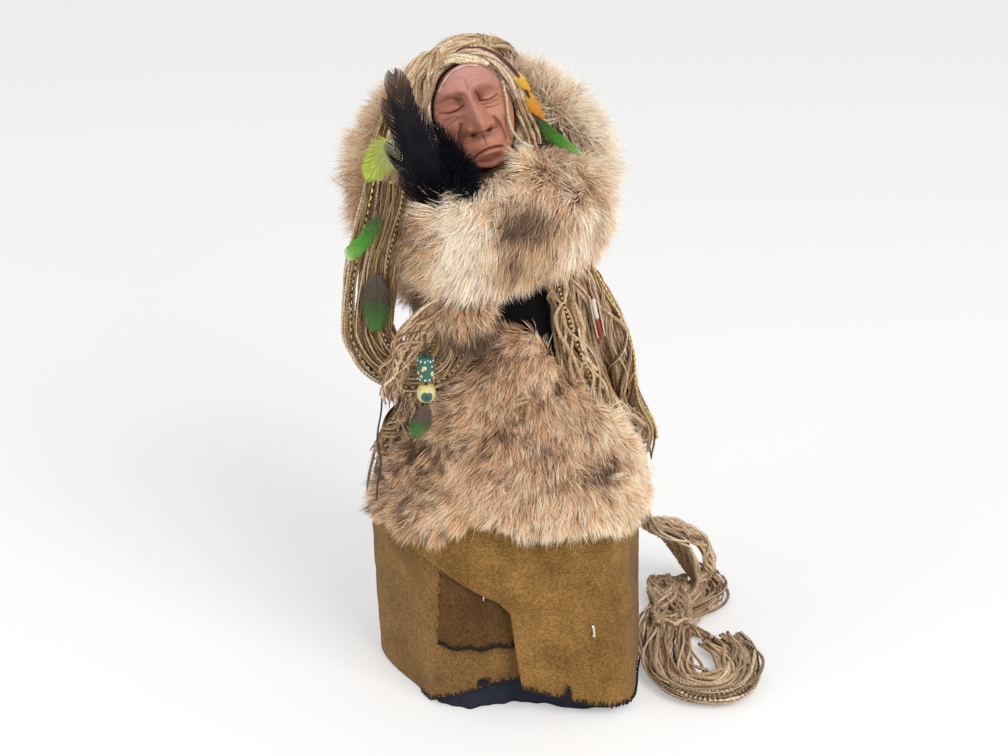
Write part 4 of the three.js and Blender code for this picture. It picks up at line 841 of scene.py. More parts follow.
# Fur. Roots lie on a skin surface; each hair leaves along its comb direction, bends, and gathers into tufts
def grow(name, roots, normals, comb, length, tone, width, lift, material, seed, clump=3.4, gather=0.55,
         curl=0.18, body="doll", slot="body_fur", tuft=0.3, tuft_tone=0.07, fall=0.10):
    rng = np.random.default_rng(seed)
    count = len(roots)
    cells = max(8, int(count * 0.05))
    heads = rng.choice(count, cells, replace=False)
    near = KDTree(cells)
    for k, h in enumerate(heads):
        near.insert(roots[h], k)
    near.balance()
    found = [near.find(p) for p in roots.tolist()]
    which = np.array([f[1] for f in found])
    leader = heads[which]
    has = np.array([f[2] for f in found]) <= clump
    comb = unit(comb) + tuft * rng.normal(size=(cells, 3))[which]
    tone = np.clip(tone + tuft_tone * rng.normal(size=cells)[which], 0.0, 1.0)
    length = length * (1 + 0.12 * rng.normal(size=cells)[which])
    comb = unit(comb - (comb * normals).sum(-1, keepdims=True) * normals * 0.75)
    jitter = rng.normal(size=(count, 3)) * curl
    start = unit(normals * lift[:, None] + comb * (1 - lift[:, None]) + jitter)
    finish = unit(comb * 0.95 + normals * 0.12 * lift[:, None] + jitter * 1.2 + np.array([0, 0, -fall]))
    t = np.linspace(0, 1, len(HAIR_TAPER))[None, :, None]
    bent = start[:, None] * t * (1 - 0.45 * t) + finish[:, None] * 0.45 * t * t
    lines = roots[:, None] + length[:, None, None] * bent
    pull = gather * rng.uniform(0.5, 1.2, size=count)
    pull[~has] = 0
    share = np.clip(pull[:, None, None] * t ** 1.5, 0, 0.96)
    lines = lines * (1 - share) + (lines[leader] + (roots - roots[leader])[:, None] * 0.25) * share
    ahead = unit(lines[:, -1] - lines[:, 0])
    side = unit(np.cross(ahead, normals + 0.5 * rng.normal(size=(count, 3))))
    half = width[:, None] * HAIR_TAPER[None]
    parts = max(1, math.ceil(count / HAIR_LIMIT))
    order = np.argsort(rng.uniform(size=count))
    for k in range(parts):
        pick = order[k::parts]
        obj = ribbons(f"{name}_{k + 1}", lines[pick], half[pick], side[pick][:, None], tone[pick], material)
        place(obj, body, slot)


# Even random places on a triangle mesh, with smooth normals
def scatter(points, faces, count, seed, keep=None):
    rng = np.random.default_rng(seed)
    a, b, c = points[faces[:, 0]], points[faces[:, 1]], points[faces[:, 2]]
    flat = np.cross(b - a, c - a)
    area = np.linalg.norm(flat, axis=1) / 2
    vertex_normal = np.zeros_like(points)
    for k in range(3):
        np.add.at(vertex_normal, faces[:, k], flat)
    vertex_normal = unit(vertex_normal)
    if keep is not None:
        area = area * keep((a + b + c) / 3, unit(flat))
    pick = rng.choice(len(faces), count, p=area / area.sum())
    u, v = rng.uniform(size=count), rng.uniform(size=count)
    over = u + v > 1
    u[over], v[over] = 1 - u[over], 1 - v[over]
    w = 1 - u - v
    root = w[:, None] * a[pick] + u[:, None] * b[pick] + v[:, None] * c[pick]
    n = w[:, None] * vertex_normal[faces[pick, 0]] + u[:, None] * vertex_normal[faces[pick, 1]] \
        + v[:, None] * vertex_normal[faces[pick, 2]]
    return root, unit(n)


# A rounded copy of a CAD solid, drawn in by some distance: the skin that its fur grows from
def skin_of(node, voxel, shrink, rounds=8):
    source = NODES[node]
    copy = source.data.copy()
    obj = bpy.data.objects.new("skin_work", copy)
    bpy.context.scene.collection.objects.link(obj)
    remesh = obj.modifiers.new("r", "REMESH")
    remesh.mode = "VOXEL"
    remesh.voxel_size = voxel * MM
    smooth = obj.modifiers.new("s", "SMOOTH")
    smooth.iterations = rounds
    smooth.factor = 0.6
    bpy.context.view_layer.update()
    made = obj.evaluated_get(bpy.context.evaluated_depsgraph_get()).to_mesh()
    co = np.zeros(len(made.vertices) * 3)
    made.vertices.foreach_get("co", co)
    no = np.zeros(len(made.vertices) * 3)
    made.vertices.foreach_get("normal", no)
    made.calc_loop_triangles()
    tri = np.zeros(len(made.loop_triangles) * 3, np.int32)
    made.loop_triangles.foreach_get("vertices", tri)
    points = co.reshape(-1, 3) / MM - no.reshape(-1, 3) * shrink
    bpy.data.objects.remove(obj)
    bpy.data.meshes.remove(copy)
    return points, tri.reshape(-1, 3)


# The hide that covers a pelt's CAD node, and the skin's points and faces for roots to be scattered on
def hide_of(node, name, voxel, shrink, body="doll", shape=None):
    points, faces = skin_of(node, voxel, shrink)
    if shape:
        points = shape(points)
    place(make_mesh(name, points, faces, np.full(len(faces), 3), "hide"), body, "body_fur", [node])
    return points, faces


# A comb direction for each root from its three parts
def combed(count, x, y, z):
    return np.stack([x * np.ones(count), y * np.ones(count), z * np.ones(count)], axis=-1)


# A random number for each of some hairs between a value and that value and a spread more
def varied(rng, count, low, spread):
    return low + spread * rng.uniform(size=count)


# Sum of soft patches of colour, each told by its strength, centre and size
def blobs(points, *patches):
    total = 0
    for strength, centre, size in patches:
        away = (points - np.asarray(centre, float)) / np.asarray(size, float)
        total = total + strength * np.exp(-(away ** 2).sum(-1))
    return total


# Share of full hair count while trying things
DENSE = 1.0


# How close a place lies to the line on which the chin is seen, and the way out from that line
CHIN_SPOT = np.array([-8.0, -33.0, 310.5])
CHIN_WAY = unit(np.array([0, -1.1782, 0.5494]))


def by_chin(places, low, high):
    gap = places - CHIN_SPOT
    gap = gap - (gap @ CHIN_WAY)[:, None] * CHIN_WAY
    away = np.linalg.norm(gap, axis=1)
    return 1 - smooth_step(away, low, high), gap / np.maximum(away, 1e-6)[:, None], away


def raised_sleeve():
    def off_chin(points):
        _, outward, away = by_chin(points, 6, 20)
        return points + outward * (np.maximum(0, 10.0 - away) * 0.7)[:, None]

    points, faces = hide_of("raised_sleeve_forearm", "raised_sleeve_hide", 2.2, 6.5, "raised_forearm", off_chin)
    roots, normals = scatter(points, faces, int(36000 * DENSE), 101)
    count = len(roots)
    rng = np.random.default_rng(102)
    swirl = wobble(roots, 40, 103)
    left_share = smooth_step(-roots[:, 0], -30, 35)
    comb = combed(count, -0.35 - 0.45 * left_share + 0.45 * swirl, -0.25, -0.75 + 0.35 * wobble(roots, 30, 104))
    top = smooth_step(normals[:, 2], 0.1, 0.8)
    comb += np.stack([-0.35 * top, -0.35 * top, 1.35 * top], axis=-1)
    near, outward, _ = by_chin(roots, 11, 25)
    comb = comb * (1 - near)[:, None] + outward * near[:, None] * 1.1
    length = (14.5 + 6.5 * rng.uniform(size=count) + 3.0 * left_share) * (1 - 0.42 * near)
    patch = blobs(roots, (1.10, (14, -62, 297), (15, 40, 10)), (0.60, (4, -66, 274), (9, 40, 11)),
                  (0.05, (27, -48, 322), (12, 40, 8)), (0.30, (24, -60, 280), (10, 40, 9)))
    cream = blobs(roots, (0.50, (-15, -68, 288), (14, 50, 27)), (0.30, (-16, -66, 316), (18, 50, 11)),
                  (0.36, (46, -45, 298), (12, 60, 22)))
    tone = 0.27 + 0.60 * smooth_step(-roots[:, 0], 24, 38) + patch - cream + 0.13 * wobble(roots, 16, 105) \
        + 0.12 * rng.normal(size=count)
    dark_hair = (rng.uniform(size=count) < 0.05) & (tone > 0.25)
    tone = np.where(dark_hair, 0.9, tone)
    grow("raised_sleeve_fur", roots, normals, comb, length, np.clip(tone, 0, 1), varied(rng, count, 0.12, 0.08),
         varied(rng, count, 0.50, 0.25), "fur", 106, body="raised_forearm", fall=0.16, tuft_tone=0.12)


def upper_sleeve():
    points, faces = hide_of("raised_sleeve_upper", "upper_sleeve_hide", 2.2, 5.5)
    roots, normals = scatter(points, faces, int(10000 * DENSE), 111)
    count = len(roots)
    rng = np.random.default_rng(112)
    comb = combed(count, 0.55 + 0.3 * wobble(roots, 30, 113), -0.2, -0.7 + 1.3 * smooth_step(roots[:, 2], 288, 312))
    tone = 0.22 + 0.14 * wobble(roots, 18, 114) + 0.12 * rng.normal(size=count)
    grow("upper_sleeve_fur", roots, normals, comb, varied(rng, count, 13, 6), np.clip(tone, 0, 1),
         varied(rng, count, 0.13, 0.08), varied(rng, count, 0.5, 0.25), "fur", 116)


def lowered_sleeve():
    points, faces = hide_of("lowered_sleeve", "lowered_sleeve_hide", 2.0, 5.5)
    roots, normals = scatter(points, faces, int(15000 * DENSE), 121)
    count = len(roots)
    rng = np.random.default_rng(122)
    comb = combed(count, 0.25 + 0.3 * wobble(roots, 24, 123), -0.15, -0.95)
    # Painted shade in the fur's tone: darker hairs along the sleeve's underside, where it hangs over the apron, and
    # towards its left side; one blob lightens a patch in the middle
    dark = blobs(roots, (0.40, (-38, -48, 250), (8, 30, 16)), (0.62, (-17, -62, 228), (10, 30, 9)),
                 (0.30, (0, -62, 232), (9, 30, 8)), (-0.30, (-6, -64, 244), (9, 30, 12)),
                 (1.0, (-16, -60, 229), (18, 40, 11)), (0.25, (-50, -56, 246), (10, 40, 10)))
    dark = dark + 0.22 * smooth_step(-roots[:, 0], 26, 42)
    tone = 0.38 + dark + 0.16 * wobble(roots, 14, 124) + 0.12 * rng.normal(size=count)
    length = varied(rng, count, 13, 6) + 7 * smooth_step(-roots[:, 2], -246, -226)
    grow("lowered_sleeve_fur", roots, normals, comb, length, np.clip(tone, 0, 1), varied(rng, count, 0.13, 0.08),
         varied(rng, count, 0.42, 0.22), "fur", 126, tuft_tone=0.12)


def ruff():
    points, faces = hide_of("fur_ruff", "ruff_hide", 2.6, 6.0)
    roots, normals = scatter(points, faces, int(38000 * DENSE), 131)
    count = len(roots)
    rng = np.random.default_rng(132)
    out = unit((roots - np.array([-12, 10, 300])) * [1, 0.35, 1])
    comb = out + 0.45 * combed(count, wobble(roots, 30, 133), 0, wobble(roots, 30, 134)) + [0, -0.15, 0]
    left_low = smooth_step(-roots[:, 0], 45, 75) * smooth_step(-roots[:, 2], -330, -280)
    tone = 0.11 + 0.34 * left_low + 0.13 * wobble(roots, 22, 135) + 0.09 * rng.normal(size=count) \
        - 0.12 * smooth_step(roots[:, 0], 10, 40) + 0.10 * smooth_step(-roots[:, 0], 10, 45)
    grow("ruff_fur", roots, normals, comb, varied(rng, count, 16, 8), np.clip(tone, 0, 1),
         varied(rng, count, 0.12, 0.08), varied(rng, count, 0.42, 0.25), "fur", 136, curl=0.22, tuft=0.36,
         tuft_tone=0.09)
    # The ruff's own fur closes in between the cheek and the raised sleeve
    heads = unit(rng.normal(size=(5200, 3)))
    heads = heads[heads[:, 1] < 0.35]
    inner = np.array([25.0, -29.0, 306.5]) + heads * [15.0, 9.0, 9.5]
    count = len(inner)
    comb = combed(count, 0.5 + 0.2 * wobble(inner, 20, 137), -0.6, 0.2)
    grow("ruff_inner_fur", inner, heads, comb, varied(rng, count, 8, 5),
         np.clip(0.20 + 0.12 * rng.normal(size=count), 0, 1), varied(rng, count, 0.12, 0.08),
         varied(rng, count, 0.5, 0.25), "fur", 138, curl=0.22, tuft_tone=0.09)


def cape():
    def outside(middle, normal):
        return ((middle[:, :2] * normal[:, :2]).sum(1) > -5) * 1.0 + 0.02

    points, faces = hide_of("fur_cape", "cape_hide", 2.6, 4.5)
    roots, normals = scatter(points, faces, int(24000 * DENSE), 141, outside)
    count = len(roots)
    rng = np.random.default_rng(142)
    out = unit(roots * [1, 1, 0])
    comb = out * 0.25 + combed(count, 0.3 * wobble(roots, 30, 143), 0, -1)
    tone = 0.32 + 0.2 * wobble(roots, 20, 144) + 0.12 * rng.normal(size=count)
    grow("cape_fur", roots, normals, comb, varied(rng, count, 13, 6), np.clip(tone, 0, 1),
         varied(rng, count, 0.13, 0.08), varied(rng, count, 0.4, 0.2), "fur", 146)


# Height of the apron's upper edge by turn, as a share of 100 mm above 123 mm
APRON_TURNS = np.arange(210, 341, 10)
APRON_TOP = np.array([0.12, 0.3, 0.5, 0.66, 0.82, 0.95, 1.0, 1.0, 1.0, 0.94, 0.8, 0.62, 0.42, 0.22])


def apron_top(degrees):
    return 123 + 100 * np.interp(degrees, APRON_TURNS, APRON_TOP)


# How far the hide's outside stands off the core: over the flap below, over the dress above
def apron_stand(z):
    return 13.8 * (1 - smooth_step(z, 165, 195)) + DRESS_STAND * smooth_step(z, 165, 195) + 0.7 + 2.0


# Height of the lowest roots by turn, so that the tips end where the photograph's do
ROOT_TURNS = [211, 230, 243, 252, 260, 268, 280, 293, 310, 325, 339]
ROOT_HEMS = [121, 118, 119, 125, 132, 131, 126, 124, 123, 121, 123]


def apron():
    degrees = np.linspace(213, 337, 130)
    turns = np.radians(degrees)
    hem = np.interp(degrees, ROOT_TURNS, ROOT_HEMS) - 3 + 1.5 * np.sin(degrees * 0.7)
    top = apron_top(degrees) - 5 + 2.0 * np.sin(degrees * 0.9) + 1.2 * np.sin(degrees * 2.3)
    t = np.linspace(0, 1, 70)
    z = hem[:, None] * (1 - t) + top[:, None] * t
    turn = np.broadcast_to(turns[:, None], z.shape)
    outer = on_body(turn, z, apron_stand(z) + 0.5 * wobble(on_body(turn, z, apron_stand(z) - 2.0), 40, 151))
    obj = sheet_mesh("apron_hide", outer, 1.4, "dark_hide")
    place(obj, "doll", "apron_fur", ["fur_apron"])
    count = int(84000 * DENSE)
    rng = np.random.default_rng(152)
    d = rng.uniform(212.5, 337.5, size=count)
    hem = np.interp(d, ROOT_TURNS, ROOT_HEMS)
    top = apron_top(d) - 3 + 2.0 * np.sin(d * 0.9) + 1.2 * np.sin(d * 2.3)
    share = rng.uniform(size=count)
    z = hem + (top - hem) * share
    turn = np.radians(d)
    roots = on_body(turn, z, apron_stand(z))
    du = on_body(turn + 0.02, z, apron_stand(z)) - on_body(turn - 0.02, z, apron_stand(z))
    dz = on_body(turn, z + 1, apron_stand(z + 1)) - on_body(turn, z - 1, apron_stand(z - 1))
    normals = unit(np.cross(du, dz))
    normals *= np.sign((normals * roots * [1, 1, 0]).sum(-1, keepdims=True))
    side = np.clip((roots[:, 0] - 12) / 60, -1.2, 1.2)
    low = 1 - share
    swirl = wobble(roots, 34, 153)
    down = unit(dz) * -1
    across = unit(du)
    slant = -0.35 + 0.85 * side * (0.35 + 0.65 * low) + 0.55 * swirl
    near_top = smooth_step(z - top, -9, -1)
    comb = down * (1 - 1.75 * near_top * rng.uniform(0.3, 1.1, count))[:, None] + across * slant[:, None]
    edge_right = smooth_step(d, 316, 336)
    edge_left = smooth_step(-d, -228, -213)
    comb += across * (0.5 * edge_right - 0.3 * edge_left)[:, None]
    ticks = wobble(roots, 8, 154, 3)
    broad = wobble(roots, 28, 155)
    flank = smooth_step(roots[:, 0], 30, 66)
    cream = 0.45 * flank * smooth_step(broad, -1.0, 0.8) + 0.45 * edge_right \
        + blobs(roots, (0.34, (46, -66, 128), (26, 60, 16)), (0.30, (52, -58, 181), (11, 60, 18)),
                (0.18, (14, -80, 132), (20, 60, 12)))
    # Darker fur: the two blobs at 221 and 206 mm, under the lowered sleeve's edge, are painted shade; the other blobs
    # are dark patches of the fur, and the left side is darker
    deep = 0.12 * smooth_step(-roots[:, 0], 10, 50) \
        + blobs(roots, (0.66, (-40, -66, 163), (14, 50, 11)), (0.80, (50, -62, 151), (10, 50, 8)),
                (0.80, (-14, -62, 221), (17, 50, 11)), (0.36, (-9, -60, 206), (22, 50, 14)),
                (0.22, (14, -54, 226), (24, 50, 9)), (0.18, (2, -76, 165), (30, 60, 14)),
                (0.20, (-56, -50, 140), (12, 50, 20)))
    tone = 0.38 + deep - cream + 0.22 * ticks + 0.13 * broad + 0.14 * rng.normal(size=count)
    dark_share = 0.10 + 0.34 * smooth_step(ticks, 0.2, 1.2) + 0.25 * smooth_step(deep, 0.15, 0.5)
    dark_hair = (rng.uniform(size=count) < dark_share) & (cream < 0.35)
    tone = np.where(dark_hair, np.maximum(tone, 0.88), tone)
    length = varied(rng, count, 11.5, 5.5) + 2.5 * smooth_step(low, 0.75, 1) + 1.5 * edge_right
    length *= 1 - 0.25 * near_top
    grow("apron_fur", roots, normals, comb, length, np.clip(tone, 0.02, 1), varied(rng, count, 0.10, 0.075),
         varied(rng, count, 0.34, 0.24), "apron", 156, slot="apron_fur", clump=3.0, gather=0.62, tuft=0.34,
         tuft_tone=0.26, fall=0.05)


raised_sleeve()
upper_sleeve()
lowered_sleeve()
ruff()
cape()
apron()


# Head frame: face along -Y, crown along +Z
def turn_matrix(axis, angle):
    return np.array(Matrix.Rotation(math.radians(angle), 3, axis))


HEAD_TURN = turn_matrix("Z", 10) @ turn_matrix("X", -20) @ turn_matrix("Y", -15)
HEAD_PLACE = np.array([-17.0, -8.0, 332.0])
FACE_W, FACE_H, FACE_DROP, FACE_RELIEF = 21.5, 28.5, 2.0, 29.0


def in_head(points):
    return np.asarray(points, float) @ HEAD_TURN.T + HEAD_PLACE


def in_face(points):
    return in_head(np.asarray(points, float) + [0, 0, -FACE_DROP])


def bell(x, width):
    return np.exp(-(x / width) ** 2)


def mound(x, z, at_x, at_z, wide, high):
    return np.exp(-((x - at_x) / wide) ** 2 - ((z - at_z) / high) ** 2)


# Distance from a broken line of points
def line_distance(x, z, points):
    best = np.full(x.shape, 1e9)
    for (ax, az), (bx, bz) in zip(points[:-1], points[1:]):
        dx, dz = bx - ax, bz - az
        t = np.clip(((x - ax) * dx + (z - az) * dz) / (dx * dx + dz * dz), 0, 1)
        best = np.minimum(best, np.hypot(x - ax - t * dx, z - az - t * dz))
    return best


# Lines of the face: points, depth, width and the darkness of the shade painted into each line
CREASES = [
    ([(-17.4, 7.3), (-14.5, 6.1), (-11.5, 5.8), (-8.5, 6.2), (-5.6, 7.3)], 1.25, 0.42, 1.0),
    ([(2.9, 7.3), (5.2, 6.5), (8.0, 6.2), (11.0, 6.6), (13.8, 7.6)], 1.25, 0.42, 1.0),
    ([(-16.2, 12.2), (-13.0, 12.6), (-9.5, 12.3), (-6.0, 10.6)], 0.55, 0.7, 0.25),
    ([(3.2, 10.4), (6.5, 11.9), (10.0, 12.1), (13.2, 11.0)], 0.55, 0.7, 0.25),
    ([(-8.2, 11.8), (-7.0, 10.4), (-7.4, 8.4)], 0.6, 0.3, 0.95),
    ([(2.2, 12.4), (3.4, 10.6), (3.2, 8.0)], 0.6, 0.3, 0.95),
    ([(-17.0, 3.2), (-14.0, 3.1), (-11.5, 4.0)], 0.5, 0.35, 0.65),
    ([(-15.8, 0.4), (-13.0, 1.0), (-10.4, 2.4)], 0.5, 0.35, 0.6),
    ([(-12.4, -2.6), (-10.6, -0.4), (-9.2, 1.8)], 0.4, 0.32, 0.55),
    ([(3.6, 4.9), (8.0, 4.4), (12.6, 5.2)], 0.5, 0.35, 0.7),
    ([(3.8, 2.9), (8.0, 2.2), (12.2, 2.4)], 0.45, 0.35, 0.6),
    ([(13.6, 9.4), (15.6, 10.4)], 0.35, 0.3, 0.5),
    ([(14.0, 6.2), (16.0, 5.4)], 0.35, 0.3, 0.5),
    ([(-17.6, 9.0), (-19.4, 10.0)], 0.35, 0.3, 0.5),
    ([(-10.2, -1.6), (-12.4, -6.0), (-13.2, -10.5), (-12.8, -15.5)], 1.8, 0.85, 0.6),
    ([(6.8, -3.0), (9.2, -7.4), (10.2, -12.0), (10.0, -16.0)], 1.8, 0.85, 0.55),
    ([(-8.6, -19.9), (-6.6, -18.6), (-3.5, -17.6), (-0.5, -17.3), (3.0, -17.6), (6.5, -18.4), (8.8, -19.8)],
     1.7, 0.5, 1.0),
    ([(-8.8, -20.0), (-9.8, -22.0)], 0.8, 0.5, 0.6),
    ([(8.9, -19.9), (9.8, -21.8)], 0.8, 0.5, 0.6),
    ([(-6.0, -22.9), (-1.5, -23.7), (3.4, -22.9)], 0.9, 0.9, 0.3),
    ([(-1.9, -9.4), (-1.7, -15.0)], 0.5, 0.8, 0.1),
    ([(-12.4, -17.6), (-11.0, -21.0), (-8.6, -25.6)], 0.45, 0.35, 0.5),
    ([(-1.4, 14.0), (-1.2, 19.4)], 0.6, 0.5, 0.15),
    ([(-13.5, 20.2), (-5.0, 21.4), (2.5, 21.0), (10.5, 19.4)], 0.25, 0.6, 0.1),
    ([(-16.4, -3.4), (-15.6, -8.6), (-14.6, -12.4)], 0.4, 0.4, 0.35),
    ([(12.4, -3.8), (13.0, -8.4)], 0.4, 0.4, 0.35),
    ([(-6.4, 13.6), (-3.6, 12.2)], 0.35, 0.3, 0.6),
]


def face_shape(x, z):
    v = z / FACE_H
    u = x / FACE_W
    skull = FACE_RELIEF * np.sqrt(np.maximum(0.16, 1 - 0.8 * u * u - 0.34 * v * v))
    m = x + 1.8
    side = np.abs(m)
    under = smooth_step(z, -9.0, -7.4)
    bridge_high = 2.0 + 5.7 * smooth_step(-z, -14.5, 3.0)
    bridge_wide = 2.2 + 1.7 * smooth_step(-z, -10, 3)
    bridge = bridge_high * bell(m, bridge_wide) * smooth_step(-z, -16.5, -11.0) * under
    tip = 3.5 * mound(m, z, 0.3, -4.0, 3.7, 3.6) * under
    wings = 4.7 * mound(side, z, 6.3, -5.4, 2.5, 2.7) + 0.9 * mound(side, z, 6.8, -4.0, 1.6, 3.0)
    wings = wings * smooth_step(z, -9.2, -7.6)
    brow = 2.2 * mound(side, z, 8.5, 15.6, 6.8, 2.5) + 0.8 * mound(side, z, 3.0, 14.2, 2.4, 2.6)
    socket = -4.0 * mound(side, z, 8.6, 10.0, 6.8, 4.4) - 1.8 * mound(side, z, 4.6, 8.8, 1.8, 3.2)
    lid = 3.4 * mound(side, z, 9.3, 8.3, 4.9, 2.5) * smooth_step(z, 5.6, 6.5)
    bag = 1.7 * mound(side, z, 9.6, 3.9, 5.4, 1.7)
    cheek = 2.3 * mound(side, z, 13.0, -1.6, 5.0, 4.6) + 1.1 * mound(side, z, 12.6, -12.0, 3.2, 6.0)
    hollow = -1.4 * mound(side, z, 15.0, -10.5, 3.4, 5.0)
    muzzle = 2.9 * mound(x + 0.8, z, 0, -16.6, 8.8, 5.8)
    bow = -17.35 - 0.024 * (x + 0.2) ** 2
    within = smooth_step(-np.abs(x + 0.2), -9.2, -5.0)
    upper_lip = 0.95 * bell(z - bow - 1.35, 1.1) * within
    lower_lip = 2.5 * bell(z - bow + 2.3, 1.35) * smooth_step(-np.abs(x + 0.2), -8.0, -3.0)
    chin = 2.0 * mound(x + 1.0, z, 0, -26.4, 5.6, 2.7)
    temple = -0.8 * mound(side, z, 15.5, 14.0, 3.0, 6.0)
    total = bridge + tip + wings + brow + socket + lid + bag + cheek + hollow + muzzle + upper_lip + lower_lip \
        + chin + temple
    # Shade painted into the creases, the eye and mouth slits, the nostrils and under the nose, near black at its
    # strongest
    painted_crease_shade = np.zeros_like(x)
    for points, depth, width, dark in CREASES:
        away = line_distance(x, z, points)
        total = total - depth * bell(away, width)
        painted_crease_shade = np.maximum(painted_crease_shade, dark * bell(away, width * 0.72))
    # Nostrils, and the shadow under the nose
    for nostril in (-6.0, 2.6):
        total = total - 2.6 * mound(x, z, nostril, -8.2, 1.75, 0.95)
        painted_crease_shade = np.maximum(painted_crease_shade, 1.15 * mound(x, z, nostril, -8.3, 1.7, 0.8))
    painted_crease_shade = np.maximum(painted_crease_shade, 0.85 * mound(x, z, -1.6, -11.6, 0.8, 0.42))
    under_nose = (1 - smooth_step(z, -10.6, -8.6)) * smooth_step(z, -12.4, -10.4)
    painted_crease_shade = np.maximum(painted_crease_shade, 0.35 * under_nose * bell(m, 6.5))
    # Pinker, lighter clay on the top of the forehead, the right cheek and the ridge of the nose: partly the clay's pink
    # tone, partly painted highlight where the light falls
    tint = 0.85 * smooth_step(z, 9, 19) + 0.35 * mound(x, z, 9, 0, 7, 7) + 0.5 * mound(x, z, -1.8, 4, 1.6, 10)
    shade = 0.62 * mound(side, z, 5.0, 9.4, 3.0, 3.4) + 0.38 * mound(side, z, 10.5, 11.2, 5.0, 1.8) \
        + 0.55 * mound(m, z, -6.0, 0.0, 2.0, 5.0) + 0.22 * mound(m, z, 5.4, 1.0, 1.5, 4.0) \
        + 0.65 * mound(side, z, 9.2, -7.4, 1.6, 3.0) + 0.70 * mound(m, z, 0, -10.6, 6.0, 1.5) \
        + 0.35 * mound(x, z, -15.0, -8.0, 3.2, 8.0) + 0.55 * mound(x + 1, z, 0, -23.4, 5.5, 1.3) \
        + 0.5 * smooth_step(-z, 23.0, 29.0) + 0.4 * smooth_step(np.hypot(u, v), 0.88, 1.0)
    return skull + total, np.clip(painted_crease_shade, 0, 1), np.clip(tint, 0, 1), np.clip(shade, 0, 0.85)


def face_edge(angle):
    narrow = 1 - 0.2 * np.maximum(0, -np.sin(angle))
    return FACE_W * np.cos(angle) * narrow, FACE_H * np.sin(angle)


def face():
    rings, sides = 118, 300
    share = np.linspace(0.004, 1, rings)
    angle = np.linspace(0, 2 * np.pi, sides, endpoint=False)
    ex, ez = face_edge(angle)
    x, z = share[:, None] * ex[None], share[:, None] * ez[None]
    ahead, painted_crease_shade, tint, shade = face_shape(x, z)
    ahead = ahead + 0.10 * wobble(np.stack([x, z, 0 * x], axis=-1), 3.2, 201, 3)
    rounding = 1 - 0.035 * smooth_step(share, 0.93, 1.0)[:, None] ** 2
    rows = [np.stack([x * rounding, -ahead, z * rounding], axis=-1)]
    for t in (0.15, 0.45, 0.75, 1.0):
        y = -ahead[-1] * (1 - t) - 4.0 * t
        rows.append(np.stack([ex * 0.965, y, ez * 0.965], axis=-1)[None])
    grid = np.concatenate(rows)
    points = in_face(grid.reshape(-1, 3))
    count = grid.shape[0]
    i, j = np.meshgrid(np.arange(count - 1), np.arange(sides), indexing="ij")
    k = (j + 1) % sides
    quads = np.stack([i * sides + j, i * sides + k, (i + 1) * sides + k, (i + 1) * sides + j], axis=-1).reshape(-1, 4)
    loops = np.concatenate([quads.ravel(), np.arange(sides)[::-1]])
    sizes = np.concatenate([np.full(len(quads), 4), [sides]])
    extra = np.zeros(4 * sides)
    obj = make_mesh("face_clay", points, loops, sizes, "clay",
                    attributes={"painted_crease_shade": np.concatenate([painted_crease_shade.ravel(), extra]),
                                "tint": np.concatenate([tint.ravel(), extra]),
                                "shade": np.concatenate([shade.ravel(), extra + 0.6])})
    place(obj, "doll", "clay", ["face_mask"])


face()


# Turn from one yarn of a bundle to the next, which spreads them evenly over its section
GOLDEN_TURN = 2.39996


# Bundles of yarn: a middle line, the widths across and deep, and yarns spread over that section
def yarn_bundle(line, wide, deep, across, count, radius, seed, turn=0.0, wander=0.25, crinkle=0.0, floor=None):
    rng = np.random.default_rng(seed)
    rows = len(line)
    ahead = unit(np.gradient(line, axis=0))
    side = square_to(np.asarray(across, float), ahead)
    up = np.cross(ahead, side)
    run = run_along(line)
    share = run / run[-1]
    wide = np.interp(share, np.linspace(0, 1, len(wide)), wide)
    deep = np.interp(share, np.linspace(0, 1, len(deep)), deep)
    lines = np.empty((count, rows, 3))
    radii = np.empty((count, rows))
    for k in range(count):
        reach = math.sqrt((k + 0.5) / count)
        angle = k * GOLDEN_TURN + rng.uniform(-0.3, 0.3)
        sway = wander * (random_wave(rng, share, 5, 11) + random_wave(rng, share, 13, 23) * 0.5)
        a = angle + turn * run + sway
        swell = radius * (1 + 0.22 * np.sin(run / rng.uniform(5, 11) + rng.uniform(0, 6.3))) * rng.uniform(0.8, 1.2)
        r = reach * (1 + 0.12 * random_wave(rng, share, 4, 9))
        u = np.cos(a) * r * np.maximum(0.2, wide - radius)
        v = np.sin(a) * r * np.maximum(0.2, deep - radius)
        if crinkle:
            curl = np.sin(run / rng.uniform(0.9, 1.5) + rng.uniform(0, 6.3))
            u = u + crinkle * curl * (0.6 + 0.4 * np.sin(run / 7 + rng.uniform(0, 6.3)))
            v = v + crinkle * 0.8 * np.sin(run / rng.uniform(1.0, 1.7) + rng.uniform(0, 6.3))
        lines[k] = line + side * u[:, None] + up * v[:, None]
        radii[k] = swell
    if floor is not None:
        lines[..., 2] = np.maximum(lines[..., 2], floor + radii * 0.85)
    return lines, radii, rng


# Yarns of a hank that end at different lengths
def uneven(lines, low, rng):
    count, rows, _ = lines.shape
    cuts = rng.uniform(low, 1.0, count)
    return np.stack([through(line[:int(rows * cut)], rows) for line, cut in zip(lines, cuts)])


PLY = [1.0, 0.86, 0.72, 0.86] * 2


def yarns(name, lines, radii, rng, material="yarn", replaces=(), twist=1.35, low=0.1, high=1.0, profile=PLY):
    tone = np.clip(rng.beta(1.6, 1.5, size=len(lines)) * (high - low) + low, 0, 1)
    place(tubes(name, lines, radii, profile, twist, material, tone), "doll", "yarn", replaces)


